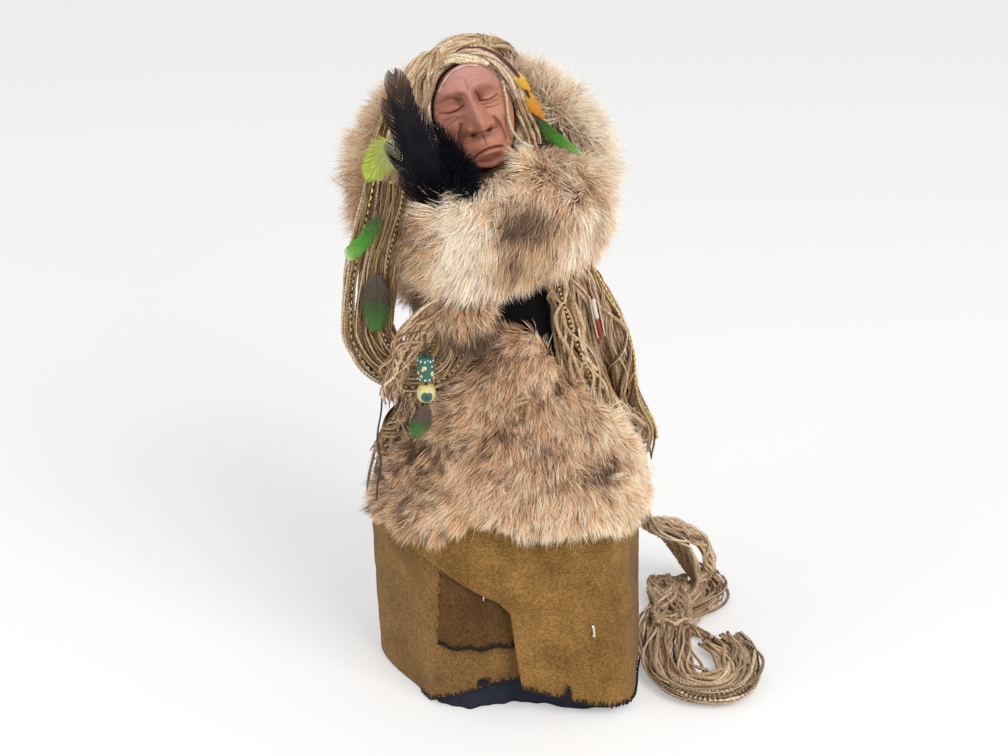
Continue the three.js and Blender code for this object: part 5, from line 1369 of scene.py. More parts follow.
# Loose fibres that stand off yarns
def fuzz(name, lines, radii, per_line, seed, tone):
    rng = np.random.default_rng(seed)
    count = len(lines) * per_line
    k = rng.integers(0, len(lines), count)
    i = rng.integers(1, lines.shape[1] - 1, count)
    base = lines[k, i]
    ahead = unit(lines[k, i + 1] - lines[k, i - 1])
    away = square_to(rng.normal(size=(count, 3)), ahead)
    long = 1.7 * rng.uniform(0.6, 1.6, size=(count, 1))
    sign = rng.choice([-1.0, 1.0], size=(count, 1))
    way = unit(away * 0.7 + ahead * sign + rng.normal(size=(count, 3)) * 0.25)
    start = base + away * radii[k, i][:, None] * 0.8
    mid = start + way * long * 0.5 + away * long * 0.12
    end = mid + way * long * 0.5 + rng.normal(size=(count, 3)) * 0.25
    end[:, 2] = np.maximum(end[:, 2], 0.05)
    shape = np.stack([start, mid, end], axis=1)
    side = unit(np.cross(way, away))[:, None]
    half = np.tile([0.07, 0.055, 0.0], (count, 1))
    place(ribbons(name, shape, half, side, rng.uniform(*tone, size=count), "fur"), "doll", "yarn")


# Fine fibres laid along yarns, so that a hank reads as hair and not as rope
def fibres(name, lines, radii, per, seed, material="straw", low=0.05, high=1.0, width=0.17, reach=1.25, stray=0.5):
    rng = np.random.default_rng(seed)
    count, rows, _ = lines.shape
    ahead = unit(np.gradient(lines, axis=1))
    up = unit(np.cross(ahead, np.array([0.31, 0.52, 0.8])))
    across = np.cross(ahead, up)
    share = np.linspace(0, 1, rows)
    each = (count, 1)
    made, sides = [], []
    for _ in range(per):
        a = rng.uniform(0, 2 * np.pi, each) + 1.3 * random_wave(rng, share[None], 3, 9, each)
        r = radii * rng.uniform(0.75, reach, each)
        r = r + stray * np.maximum(0, random_wave(rng, share[None], 5, 17, each)) ** 6
        made.append(lines + up * (np.cos(a) * r)[..., None] + across * (np.sin(a) * r)[..., None])
        sides.append(across * np.cos(a)[..., None] - up * np.sin(a)[..., None])
    shape, side = np.concatenate(made), np.concatenate(sides)
    ends = np.minimum(1, np.minimum(share, 1 - share) * 12 + 0.2)
    half = width * rng.uniform(0.6, 1.3, (len(shape), 1)) * ends[None]
    tone = rng.beta(1.5, 1.5, len(shape)) * (high - low) + low
    place(ribbons(name, shape, half, side, tone, material), "doll", "yarn")


# Ways of the face in the row frame: out of its back, and to its left
FACE_BACK = HEAD_TURN @ [0, 1.0, 0]
FACE_SIDE = HEAD_TURN @ [1.0, 0, 0]


def roll():
    angles = np.linspace(-38, 218, 15)
    ex, ez = face_edge(np.radians(angles))
    over = np.sin(np.radians(np.clip(angles, 0, 180)))
    stand = 4.4 + 0.1 * over
    x, z = ex + stand * np.cos(np.radians(angles)), ez + stand * np.sin(np.radians(angles))
    centre = through(in_face(np.stack([x, -10.0 - 1.0 * over, z], axis=1)), 120)
    lines, radii, rng = yarn_bundle(centre, [3.2, 4.4, 5.0, 5.6, 5.2, 4.6, 3.4], [3.0, 4.2, 4.9, 5.3, 5.1, 4.4, 3.2],
                                    FACE_BACK, 40, 1.15, 301, turn=0.035, wander=0.4)
    yarns("forehead_roll_yarn", lines, radii * 1.05, rng, "straw", replaces=["hair_roll"], low=0.4, high=1.0)
    fibres("forehead_roll_fibres", lines, radii, 8, 302, low=0.3)
    # A second, looser hank that crosses over the first at the top
    cross = [[-25.5, -9.5, 8.0], [-23.5, -12.5, 19.0], [-15.5, -14.8, 28.0], [-4.0, -15.6, 33.6], [6.0, -15.2, 34.4],
             [15.5, -13.6, 30.0], [23.5, -11.5, 20.5], [27.0, -10.5, 7.0], [26.6, -10.0, -7.0], [23.4, -10.4, -19.0]]
    centre = through(in_face(cross), 110)
    lines, radii, rng = yarn_bundle(centre, [2.4, 3.6, 4.6, 4.6, 4.2, 3.6, 2.8], [2.2, 3.2, 3.6, 3.0, 3.6, 3.2, 2.6],
                                    FACE_BACK, 18, 1.15, 303, turn=-0.05, wander=0.4)
    yarns("forehead_hank_yarn", lines, radii * 0.9, rng, "straw", low=0.5, high=1.0)
    fibres("forehead_hank_fibres", lines, radii, 9, 304, low=0.5)
    # A loose knot where the two cross, over the middle of the forehead
    knot = [[-13.0, -17.0, 29.0], [-5.5, -20.2, 31.6], [1.5, -20.4, 30.2], [8.0, -19.4, 27.6], [14.5, -17.6, 23.4]]
    lines, radii, rng = yarn_bundle(through(in_face(knot), 60), [1.6, 3.0, 3.2, 2.6, 1.2], [1.6, 2.8, 3.4, 2.6, 1.2],
                                    FACE_BACK, 10, 1.0, 311, turn=0.12, wander=0.3)
    yarns("forehead_knot_yarn", lines, radii * 0.9, rng, "straw", low=0.55, high=1.0)
    fibres("forehead_knot_fibres", lines, radii, 9, 312, low=0.55)
    # Hair swept from the crown over the left temple into the left hank
    sweep = [[-12.0, -8.0, 371.5], [-24.0, -14.0, 370.5], [-34.5, -18.5, 366.0], [-41.5, -22.0, 357.5],
             [-46.0, -24.0, 347.0], [-50.5, -26.0, 333.0], [-55.0, -28.0, 318.0], [-58.0, -30.0, 302.0]]
    lines, radii, rng = yarn_bundle(through(sweep, 100), [4.0, 8.0, 9.6, 9.0, 7.6, 6.4],
                                    [2.6, 4.0, 4.6, 4.4, 4.0, 3.4], [0.8, 0.0, 0.6], 30, 1.1, 313, turn=0.01, wander=0.5)
    yarns("temple_sweep_yarn", lines, radii * 0.85, rng, "straw", low=0.0, high=0.7)
    fibres("temple_sweep_fibres", lines, radii, 8, 314, low=0.1)
    # Mauve strands over the top right and down the right temple
    mauve = [[-1.5, -19.0, 34.4], [6.0, -19.0, 34.8], [14.5, -17.8, 31.6], [22.0, -16.6, 24.5], [28.0, -15.6, 12.5],
             [30.0, -15.2, -1.0], [28.6, -15.0, -15.0]]
    lines, radii, rng = yarn_bundle(through(in_face(mauve), 110), [1.5], [1.0], FACE_BACK, 4, 0.62, 305, turn=0.05)
    yarns("mauve_strands", lines, radii, rng, "mauve", low=0.2)
    pale = [[18.6, -20.0, 13.0], [17.0, -24.0, 4.0], [14.6, -26.0, -5.0], [14.4, -26.5, -13.5], [17.6, -25.0, -20.0],
            [22.6, -22.0, -24.4]]
    lines, radii, rng = yarn_bundle(through(in_face(pale), 70), [0.8], [0.8], FACE_SIDE, 2, 0.8, 307, turn=1.1,
                                    wander=0)
    yarns("pale_twisted_cord", lines, radii, rng, "pale", low=0.3)
    gold = [[-13.0, -17.6, 24.4], [-18.4, -15.8, 18.6], [-22.0, -15.0, 12.0], [-22.2, -15.4, 4.0],
            [-19.4, -16.6, -3.0], [-18.4, -17.6, -7.0]]
    lines, radii, rng = yarn_bundle(through(in_face(gold), 80), [0.5], [0.5], FACE_SIDE, 2, 0.42, 309, turn=1.6,
                                    wander=0)
    yarns("temple_gold_thread", lines, radii, rng, "pale", low=0.3)
    # Thin strands that fall from the right end of the roll
    strands = ((24.0, 2.0, 25.5, -27.0), (26.5, 0.0, 28.5, -24.0), (22.0, -4.0, 22.6, -29.0))
    for k, (ax, az, bx, bz) in enumerate(strands):
        fall = [[ax, -15.0, az], [ax * 1.02, -16.6, (az * 2 + bz) / 3], [bx, -16.2, (az + 2 * bz) / 3],
                [bx * 0.98, -15.0, bz]]
        lines, radii, rng = yarn_bundle(through(in_face(fall), 60), [1.3], [1.2], FACE_SIDE, 5, 0.55, 315 + k,
                                        turn=0.05, wander=0.8)
        yarns(f"right_temple_strands_{k + 1}", lines, radii, rng, "yarn", low=0.1)


roll()


# The pale band that edges the forehead at the upper left
def band():
    angle = np.radians(np.linspace(66, 138, 60))
    ex, ez = face_edge(angle)
    ahead = face_shape(ex * 0.92, ez * 0.92)[0]
    line = in_face(np.stack([ex * 0.925, -ahead - 0.5, ez * 0.925], axis=1))
    thread("forehead_band", line, 0.55, [1, 0.7, 0.5, 0.7] * 2, 0.35, "band")


band()


# Hair over the crown, swept back from the forehead, and fine dark hair round the face
def cap():
    rng = np.random.default_rng(311)
    count, rows = 120, 30
    a = np.radians(np.linspace(-36, 216, count)) + rng.uniform(-0.02, 0.02, count)
    polar = np.radians(np.linspace(94, 8, rows))
    layer = 1.2 + 1.4 * (np.arange(count) % 2) + rng.uniform(-0.4, 0.4, count)
    stand = layer[:, None] + 0.4 * np.sin(np.linspace(0, 9, rows)[None] + rng.uniform(0, 6, (count, 1)))
    stand = stand - 4.5 * (1 - smooth_step(np.linspace(0, 1, rows), 0.0, 0.3))[None]
    swing = a[:, None] + 0.10 * np.sin(np.linspace(0, 3, rows)[None] + rng.uniform(0, 6, (count, 1)))
    x = (25 + stand) * np.sin(polar) * np.cos(swing)
    y = np.maximum((27 + stand) * np.cos(polar), -3.0)
    z = (32 + stand) * np.sin(polar) * np.sin(swing)
    lines = in_head(np.stack([x, y, z], axis=-1).reshape(-1, 3)).reshape(count, rows, 3)
    radii = np.full((count, rows), 1.1) * rng.uniform(0.75, 1.2, (count, 1)) * np.linspace(0.5, 1, rows)[None] ** 0.4
    yarns("crown_hair", lines, radii, rng, "straw", replaces=["hair_cap"], low=0.0, high=0.55)
    fibres("crown_fibres", lines, radii, 7, 316, low=0.0, high=0.8)
    # The head's front is drawn in behind the clay, which is carved deeper than the CAD face
    points, faces = node_arrays("head_core")
    own = (points - HEAD_PLACE) @ HEAD_TURN
    own[:, 1] = np.where(own[:, 1] < 0, own[:, 1] * 0.66, own[:, 1])
    obj = make_mesh("head_form", in_head(own), faces, np.full(len(faces), 3), "scalp")
    place(obj, "doll", "stuffing", ["head_core"])
    # Dark fluff between the face and the roll
    count = 4200
    a = rng.uniform(math.radians(-55), math.radians(235), count)
    ex, ez = face_edge(a)
    root = np.stack([ex * 1.05, rng.uniform(-11, -4, count), ez * 1.05], axis=1)
    inward = varied(rng, count, 0.15, 0.45)
    way = combed(count, np.cos(a) * -inward, -1.0, np.sin(a) * -inward - 0.25)
    way = unit(way + rng.normal(size=(count, 3)) * 0.55)
    long = rng.uniform(4, 10, (count, 1))
    t = np.linspace(0, 1, 4)[None, :, None]
    shape = root[:, None] + way[:, None] * long[:, None] * t + rng.normal(size=(count, 1, 3)) * 1.3 * t ** 2
    shape = in_face(shape.reshape(-1, 3)).reshape(count, 4, 3)
    side = unit(rng.normal(size=(count, 1, 3)))
    half = np.tile([0.1, 0.09, 0.06, 0.0], (count, 1))
    place(ribbons("temple_fluff", shape, half, side, rng.beta(1.0, 2.2, count), "fluff"), "doll", "yarn")


cap()


# Left hair: nested strands that fall from the temple and swing up under the lowered sleeve
FALL = [[-0.8, -0.22, 0.925], [-0.82, -0.3, 0.87], [-0.87, -0.44, 0.79], [-1.0, -0.53, 0.69], [-1.04, -0.56, 0.61]]


STRAND_GAP = 6.7
SWAG_FRONT = -57.5


# Route of a left strand; places between two strands count too
def left_route(index):
    aside = (index - 1.5) * STRAND_GAP
    fall = hair_place(FALL)
    for i in range(5):
        turn = math.radians(90) * (1 - smooth_step(float(i), 0, 2))
        fall[i] += [aside * math.cos(turn), -aside * math.sin(turn), 0]
    low = fall[-1]
    middle = low[0] - aside + 3.2 * STRAND_GAP
    reach = middle - low[0]
    swag = []
    for turn in np.linspace(200, 360, 7):
        a = math.radians(turn)
        forward = low[1] + (SWAG_FRONT - low[1]) * (turn - 180) / 180
        swag.append([middle + reach * math.cos(a), forward, low[2] + reach * math.sin(a) * 1.04])
    end = [middle + reach, SWAG_FRONT, low[2] + 3.2 * (0.3 + 0.6 * index)]
    return np.vstack([fall, swag, [end]])


# Yarns that wander between the left strands and fill the hank
def wandering(rng, count, rows):
    lines = np.empty((count, rows, 3))
    share = np.linspace(0, 1, rows)
    for k in range(count):
        first, last = rng.uniform(-0.45, 3.45, 2)
        at = smooth_step(share, *np.sort(rng.uniform(0, 1, 2) + [0, 0.25]))[:, None]
        shift = np.array([rng.uniform(-1.2, 1.2), rng.uniform(-4.4, 1.0), rng.uniform(-1, 1)])
        wave = 0.9 * random_wave(rng, share, 14, 30)
        lines[k] = through(left_route(first), rows) * (1 - at) + through(left_route(last), rows) * at + shift
        lines[k, :, 0] += wave
    return lines


def left_hank():
    for index in range(4):
        lines, radii, rng = yarn_bundle(through(left_route(index), 130), [3.0, 3.2, 3.4, 3.2, 3.0],
                                        [3.4, 4.2, 4.4, 4.4, 3.8], [0, 1.0, 0], 13, 0.86, 320 + index, turn=0.02,
                                        wander=1.1)
        yarns(f"left_hank_yarn_{index + 1}", lines, radii, rng, replaces=[f"left_strand_{index + 1}"], low=0.05,
              high=0.85)
        fibres(f"left_hank_fibres_{index + 1}", lines, radii, 2, 326 + index, "straw", 0.0, 0.9, 0.13, 1.4, 0.9)
    rng = np.random.default_rng(319)
    lines = wandering(rng, 30, 130)
    yarns("left_hank_loose_yarn", lines, np.full((30, 130), 0.72) * rng.uniform(0.7, 1.25, (30, 1)), rng, low=0.2)
    fuzz("left_hank_fuzz", lines, np.full((30, 130), 0.72), 60, 331, (0.1, 0.6))
    # A second fall that swings down and left in front, to join the lock on the apron
    swag = np.array([[-22.0, -58.5, 249.0], [-32.0, -63.0, 244.5], [-45.0, -66.5, 231.0], [-55.0, -65.5, 214.0],
                     [-58.5, -62.5, 200.0], [-57.0, -59.0, 187.0]])
    lines, radii, rng = yarn_bundle(through(swag, 90), [1.6, 2.4, 2.8, 2.6, 2.4], [5.0, 8.0, 9.5, 8.5, 6.5],
                                    [0, 1.0, 0.2], 24, 0.88, 333, wander=0.9)
    lines = uneven(lines, 0.86, rng)
    radii = radii * (1 - 0.6 * smooth_step(np.linspace(0, 1, 90), 0.92, 1.0))[None]
    yarns("left_swag_yarn", lines, radii, rng, low=0.1)
    fibres("left_swag_fibres", lines, radii, 2, 334, "straw", 0.0, 0.9, 0.13, 1.4, 0.9)
    lines, radii, rng = yarn_bundle(through(swag + [0, -2.2, 0], 90), [0.8], [6.4], [0, 1.0, 0.2], 3, 0.36, 335,
                                    turn=0.03, wander=0.8)
    yarns("left_swag_mauve", lines, radii, rng, "mauve")
    # Braided metallic threads: a dark core with gold wraps
    for k, (index, dx, dy) in enumerate(((0.15, 0.0, -4.4), (2.6, 0.0, -4.6))):
        line = through(left_route(index) + [dx, dy, 0.0], 240)
        thread(f"left_hank_braid_{k + 1}", line, 0.46 * (1 + 0.14 * np.sin(np.arange(240) * 1.6)), TWIST_3, 1.0,
               ["black_thread", "gold"], bands=2)
    golds = ((0.4, -1.4, -4.0), (1.3, 1.8, -4.4), (2.0, -1.6, -4.6), (3.1, 1.2, -4.2), (3.4, -0.6, -4.0))
    for k, (index, dx, dy) in enumerate(golds):
        line = through(left_route(index) + [dx, dy, 0.5], 190)
        line[:, 0] += 0.7 * np.sin(np.linspace(0, 20 + 3 * k, 190))
        thread(f"left_hank_gold_{k + 1}", line, 0.24, TWIST_2, 2.1, "gold")


left_hank()


# How far the clothes stand off the core by height: the flap below, the dress above; and the share of the dress
def clothes_stand(z):
    above = smooth_step(z, 150, 172.5)
    return FLAP_STAND * (1 - above) + DRESS_STAND * above, above


# Loose yarns that fall over a flank of the body between two turns
def flank(name, turns, tops, feet, count, seed, drift, low, tuck, hug):
    rng = np.random.default_rng(seed)
    rows = 60
    lines = np.empty((count, rows, 3))
    share = np.linspace(0, 1, rows)
    for k in range(count):
        start = rng.uniform(*turns)
        turn = start + rng.uniform(-drift, drift) * share + 1.2 * random_wave(rng, share, 5, 12)
        foot = rng.uniform(*feet)
        z = rng.uniform(*tops) * (1 - share) + foot * share
        clothes, above = clothes_stand(z)
        stand = clothes - hug * (1 - above) + 1.4 + rng.uniform(0, 5.2) + 0.7 * random_wave(rng, share, 6, 14)
        stand = stand - tuck * smooth_step(share, 0.75, 1.0)
        lines[k] = on_body(np.radians(turn), z, stand)
    radii = np.full((count, rows), 0.85) * rng.uniform(0.7, 1.25, (count, 1))
    radii = radii * (1 - 0.7 * smooth_step(share, 0.86, 1.0))
    yarns(f"{name}_yarn", lines, radii, rng, low=low, high=0.95)
    fibres(f"{name}_fibres", lines, radii, 3, seed + 1, "straw", 0.0, 0.9, 0.13, 1.5, 1.1)


flank("left_flank", (194, 221), (205, 232), (112, 150), 46, 381, 4.0, 0.25, 0.5, 3.6)
flank("right_flank", (310, 352), (238, 250), (142, 168), 84, 383, 6.0, 0.25, 7.0, 0.0)


# Locks that lie on the clothes
def lock_route(turns, shares, stands, radius):
    places = []
    for i, turn in enumerate(turns):
        z = SHOULDER * shares[i]
        stand = clothes_stand(z)[0] + 0.7 + radius + radius * stands[min(i, len(stands) - 1)]
        places.append(on_body(np.array(math.radians(turn)), np.array(z), stand))
    return np.array(places)


# Each lock's name, turns in degrees, heights and stands as shares, radius, CAD node, number of yarns and seed
LOCKS = [
    ("right_inner", [-50, -46, -39, -30, -20, -13], [0.88, 0.8, 0.7, 0.62, 0.56, 0.52], [0],
     7.5, ["right_inner_lock"], 30, 341),
    ("right_outer", [-26, -20, -14, -9, -6, -4], [0.88, 0.8, 0.7, 0.6, 0.52, 0.44], [0, 0.9, 1.6, 1.1, 0.2, -0.3],
     6.75, ["right_outer_lock"], 28, 343),
    ("right_middle", [-34, -22, -11, -6, -5, -5], [0.87, 0.79, 0.69, 0.6, 0.53, 0.47], [0, 0.2, 0.7, 0.4, 0.0, 0],
     5.0, [], 20, 347),
    ("lower_left", [219, 216, 212, 207], [0.64, 0.59, 0.545, 0.5], [0.8, 0.4, 0.1, 0.1],
     6.4, ["lower_left_lock"], 24, 345)]


def locks():
    for name, turns, shares, stands, radius, nodes, count, seed in LOCKS:
        route = lock_route(turns, shares, stands, radius)
        lines, radii, rng = yarn_bundle(through(route, 100), np.array([0.7, 0.9, 0.9, 0.8]) * radius,
                                        np.array([0.9, 1.15, 1.2, 1.1]) * radius, [0, 1.0, 0], count, 1.0, seed,
                                        turn=0.02, wander=0.9)
        lines = uneven(lines, 0.84, rng)
        radii = radii * (1.08 - 0.70 * smooth_step(np.linspace(0, 1, 100), 0.9, 1.0))[None]
        yarns(f"{name}_lock_yarn", lines, radii, rng, replaces=nodes, low=0.0, high=1.0)
        fibres(f"{name}_lock_fibres", lines, radii, 3, seed + 1, "straw", 0.0, 0.9, 0.14, 1.4, 1.0)
        out = unit(route * [1, 1, 0])
        if name == "right_outer":
            line = through(through(route + out * 5.2 + [1.2, -1.0, 0], 170)[:150], 150)
            thread("outer_lock_chain", line, 0.75 * (1 + 0.35 * np.sin(np.arange(150) * 1.5)), TWIST_3, 1.0, "gold")
        if name == "right_inner":
            line = through(through(route + out * 5.4 + [-2.0, -1.2, 0], 170)[:150], 150)
            thread("inner_lock_braid", line, 0.7, TWIST_3, 1.0, ["black_thread", "gold"], bands=2)


locks()


# Hair that falls from the crown over the hood and down the back
def back_fall():
    over = 5.2
    hood_top, hood_back = 354.0, 39.0
    middle = float(lean(SHOULDER))
    places = [[middle - 3, -8.0, 360.0], [middle - 2, 6.0, 364.0], [middle, hood_back * 0.58, hood_top + over * 0.8],
              [middle, hood_back * 0.86, hood_top * 0.978], [middle, hood_back * 1.28, hood_top * 0.93],
              [middle, hood_back * 1.62, hood_top * 0.83], [middle * 0.7, hood_back * 1.43, CHEST],
              [0, 33 + ROBE_STAND + over * 2, WAIST]]
    for z, extra in ((150.0, 1.4), (105.0, 1.0)):
        places.append([0, float(core_radius(math.radians(90), z)) + ROBE_STAND + over * extra, z])
    count = 112
    rng = np.random.default_rng(351)
    centre = through(places, 110)
    ahead = unit(np.gradient(centre, axis=0))
    out = np.cross(np.array([1.0, 0, 0]), ahead)
    out *= np.sign(out[:, 1:2] + 1e-6)
    share = np.linspace(0, 1, 110)
    width = 30 * (0.8 + 0.35 * share) * (0.24 + 0.76 * smooth_step(share, 0, 0.24))
    lines = np.empty((count, 110, 3))
    for k in range(count):
        place_x = (k + 0.5) / count * 2 - 1 + rng.uniform(-0.02, 0.02)
        x = place_x * width * (1 + 0.07 * random_wave(rng, share, 5, 12))
        x = x + (2.2 * random_wave(rng, share, 4, 11) + 0.8 * random_wave(rng, share, 20, 40)) * share ** 0.5
        layer = rng.uniform(-0.2, 1.0) - rng.uniform(0, 1.3) * smooth_step(share, 0.5, 0.75)
        depth = 4.6 * np.sqrt(np.maximum(0.15, 1 - place_x ** 2)) * layer \
            + 1.1 * np.sin(share * rng.uniform(9, 20) + rng.uniform(0, 6))
        lines[k] = centre + np.array([1.0, 0, 0]) * x[:, None] + out * depth[:, None]
    lines = uneven(lines, 0.86, rng)
    radii = np.full((count, 110), 1.12) * rng.uniform(0.7, 1.2, (count, 1))
    radii = radii * ((0.3 + 0.7 * smooth_step(share, 0, 0.06)) * (1 - 0.6 * smooth_step(share, 0.94, 1.0)))[None]
    yarns("back_hair_yarn", lines, radii, rng, replaces=["back_hair"], twist=0.55, low=0.0, high=1.0)
    fibres("back_hair_fibres", lines, radii, 5, 352, "straw", 0.0, 0.9, 0.14, 1.5, 1.2)


back_fall()


# Hair that trails over the floor at the right
TRAIL = [[1.06, -0.16, 0.43], [1.13, -0.10, 0.345], [1.14, 0.0, 0.27], [1.19, 0.18, 0.21], [1.38, 0.46, 0.167],
         [1.51, 0.71, 0.124], [1.6, 0.91, 0.075],
         [1.69, 1.03, 0.032], [1.78, 1.0, 0.012], [1.78, 0.85, 0.012], [1.68, 0.7, 0.012], [1.54, 0.56, 0.012],
         [1.43, 0.35, 0.012], [1.4, 0.1, 0.012], [1.39, -0.18, 0.012], [1.44, -0.48, 0.012], [1.59, -0.68, 0.012],
         [1.81, -0.7, 0.012], [1.96, -0.5, 0.012], [1.98, -0.18, 0.012], [1.86, 0.05, 0.012]]


def trail_route(aside, rows):
    route = through(hair_place(TRAIL), rows)
    ahead = unit(np.gradient(route, axis=0))
    side = unit(np.cross(ahead, [0, 0, 1.0]) - (ahead[:, 2:3] ** 2) * np.array([0, 1.0, 0]))
    share = np.linspace(0, 1, rows)
    spread = (0.97 + 0.11 * share) * (0.35 + 0.65 * smooth_step(share, 0.0, 0.09))
    line = route + side * (aside * 8.6 * spread)[:, None]
    line[:, 2] = np.maximum(line[:, 2], 2.85)
    return line, side


def trailing():
    for index in range(3):
        line, side = trail_route(index - 1, 300)
        lines, radii, rng = yarn_bundle(line, [3.7, 4.2, 4.4, 4.4, 4.2], [3.4, 3.4, 2.9, 2.6, 2.6], side, 11, 0.95,
                                        361 + index, turn=0.012, wander=0.9, crinkle=0.42, floor=0.02)
        yarns(f"trailing_yarn_{index + 1}", lines, radii, rng, "trail", [f"trailing_strand_{index + 1}"], low=0.05,
              profile=TWIST_3)
        fuzz(f"trailing_fuzz_{index + 1}", lines, radii, 90, 370 + index, (0.2, 0.8))
    rng = np.random.default_rng(377)
    share = np.linspace(0, 1, 260)
    loose_lines = np.empty((34, 260, 3))
    for k in range(34):
        line, side = trail_route(rng.uniform(-1.35, 1.35), 260)
        sway = 4.6 * random_wave(rng, share, 9, 22) + 1.6 * random_wave(rng, share, 30, 60)
        line = line + side * (sway * smooth_step(share, 0.02, 0.2))[:, None]
        line[:, 2] = np.maximum(line[:, 2] + 1.5 + 2.6 * random_wave(rng, share, 12, 28), 1.2)
        loose_lines[k] = line
    radii = np.full((34, 260), 1.15) * rng.uniform(0.7, 1.2, (34, 1))
    yarns("trailing_loose_yarn", loose_lines, radii, rng, "trail", low=0.1)
    fibres("trailing_loose_fibres", loose_lines, radii, 3, 378, "trail", 0.1, 1.0, 0.13, 1.5, 0.9)
    # A tangle where the loop closes beside the robe
    share = np.linspace(0, 1, 150)
    tangle = np.empty((44, 150, 3))
    for k in range(44):
        a, b, c = rng.uniform(3, 10), rng.uniform(2, 7), rng.uniform(5, 13)
        phase = rng.uniform(0, 6.3, 3)
        tangle[k] = np.stack([100.5 + 10.5 * np.sin(a * share + phase[0]) + 1.2 * np.sin(31 * share + phase[1]),
                              43.0 + 27.0 * np.sin(b * share + phase[1]) + 1.4 * np.sin(27 * share + phase[2]),
                              np.maximum(1.2, 6.0 + 4.5 * np.sin(c * share + phase[2]))], axis=-1)
    radii = np.full((44, 150), 1.2) * rng.uniform(0.7, 1.2, (44, 1))
    yarns("trailing_tangle_yarn", tangle, radii, rng, "trail", low=0.05)
    fibres("trailing_tangle_fibres", tangle, radii, 4, 379, "trail", 0.1, 1.0, 0.13, 1.5, 0.9)
    for name, route, wide, deep, count, seed in (
            ("bow", [[89.8, 56.0, 56], [100.1, 66.0, 49], [114.1, 72.7, 38], [122.5, 76.0, 28], [126.6, 75.0, 17],
                     [125.0, 73.0, 9], [118.7, 67.9, 6], [109.5, 57.8, 6]],
             [3.0, 5.0, 5.5, 4.5], [3.0, 4.5, 4.5, 3.5], 20, 385),
            ("close", [[101.0, 24.0, 6], [107.4, 18.5, 5], [116.4, 12.0, 4.5], [125.0, 3.8, 4.5], [129.0, -4.2, 4.5],
                       [131.0, -12.0, 4.5]],
             [3.0, 3.6, 3.2, 2.8], [2.6, 2.8, 2.6, 2.4], 12, 387)):
        lines, radii, rng = yarn_bundle(through(route, 110), wide, deep, [0.3, 0.3, 1.0], count, 1.0, seed, turn=0.03,
                                        wander=1.0, crinkle=0.3, floor=0.02)
        yarns(f"trailing_{name}_yarn", lines, radii, rng, "trail", low=0.1)
        fibres(f"trailing_{name}_fibres", lines, radii, 4, seed + 1, "trail", 0.1, 1.0, 0.13, 1.5, 0.9)
    cords = ((1.42, "dark_cord", 0.8), (1.25, "pale", 0.9), (-0.5, "black_thread", 0.5))
    for k, (aside, material, radius) in enumerate(cords):
        line, side = trail_route(aside, 220)
        line = line + side * (1.2 * np.sin(np.linspace(0, 26, 220)))[:, None]
        line[:, 2] = np.maximum(line[:, 2] + 1.6, radius)
        thread(f"trailing_cord_{k + 1}", line, radius, TWIST_3, 1.4, material)


trailing()


# Width of a vane along it, as a share: a leaf, a long blade with a round tip, or a point
def vane_profile(share, kind):
    if kind == "blade":
        tip = np.sqrt(np.clip(1 - (np.clip(share - 0.84, 0, 1) / 0.165) ** 2, 0.02, 1))
        return np.clip(share / 0.22, 0.05, 1) ** 0.6 * tip
    if kind == "point":
        return np.sin(np.pi * (0.08 + 0.88 * share)) ** 0.75 * (1.12 - 0.45 * share)
    return np.sin(np.pi * (0.07 + 0.895 * share)) ** 0.62


# Values of a profile at places along it, in three dimensions
def along(at, places, values):
    return np.stack([np.interp(at, places, values[:, i]) for i in range(3)], axis=1)


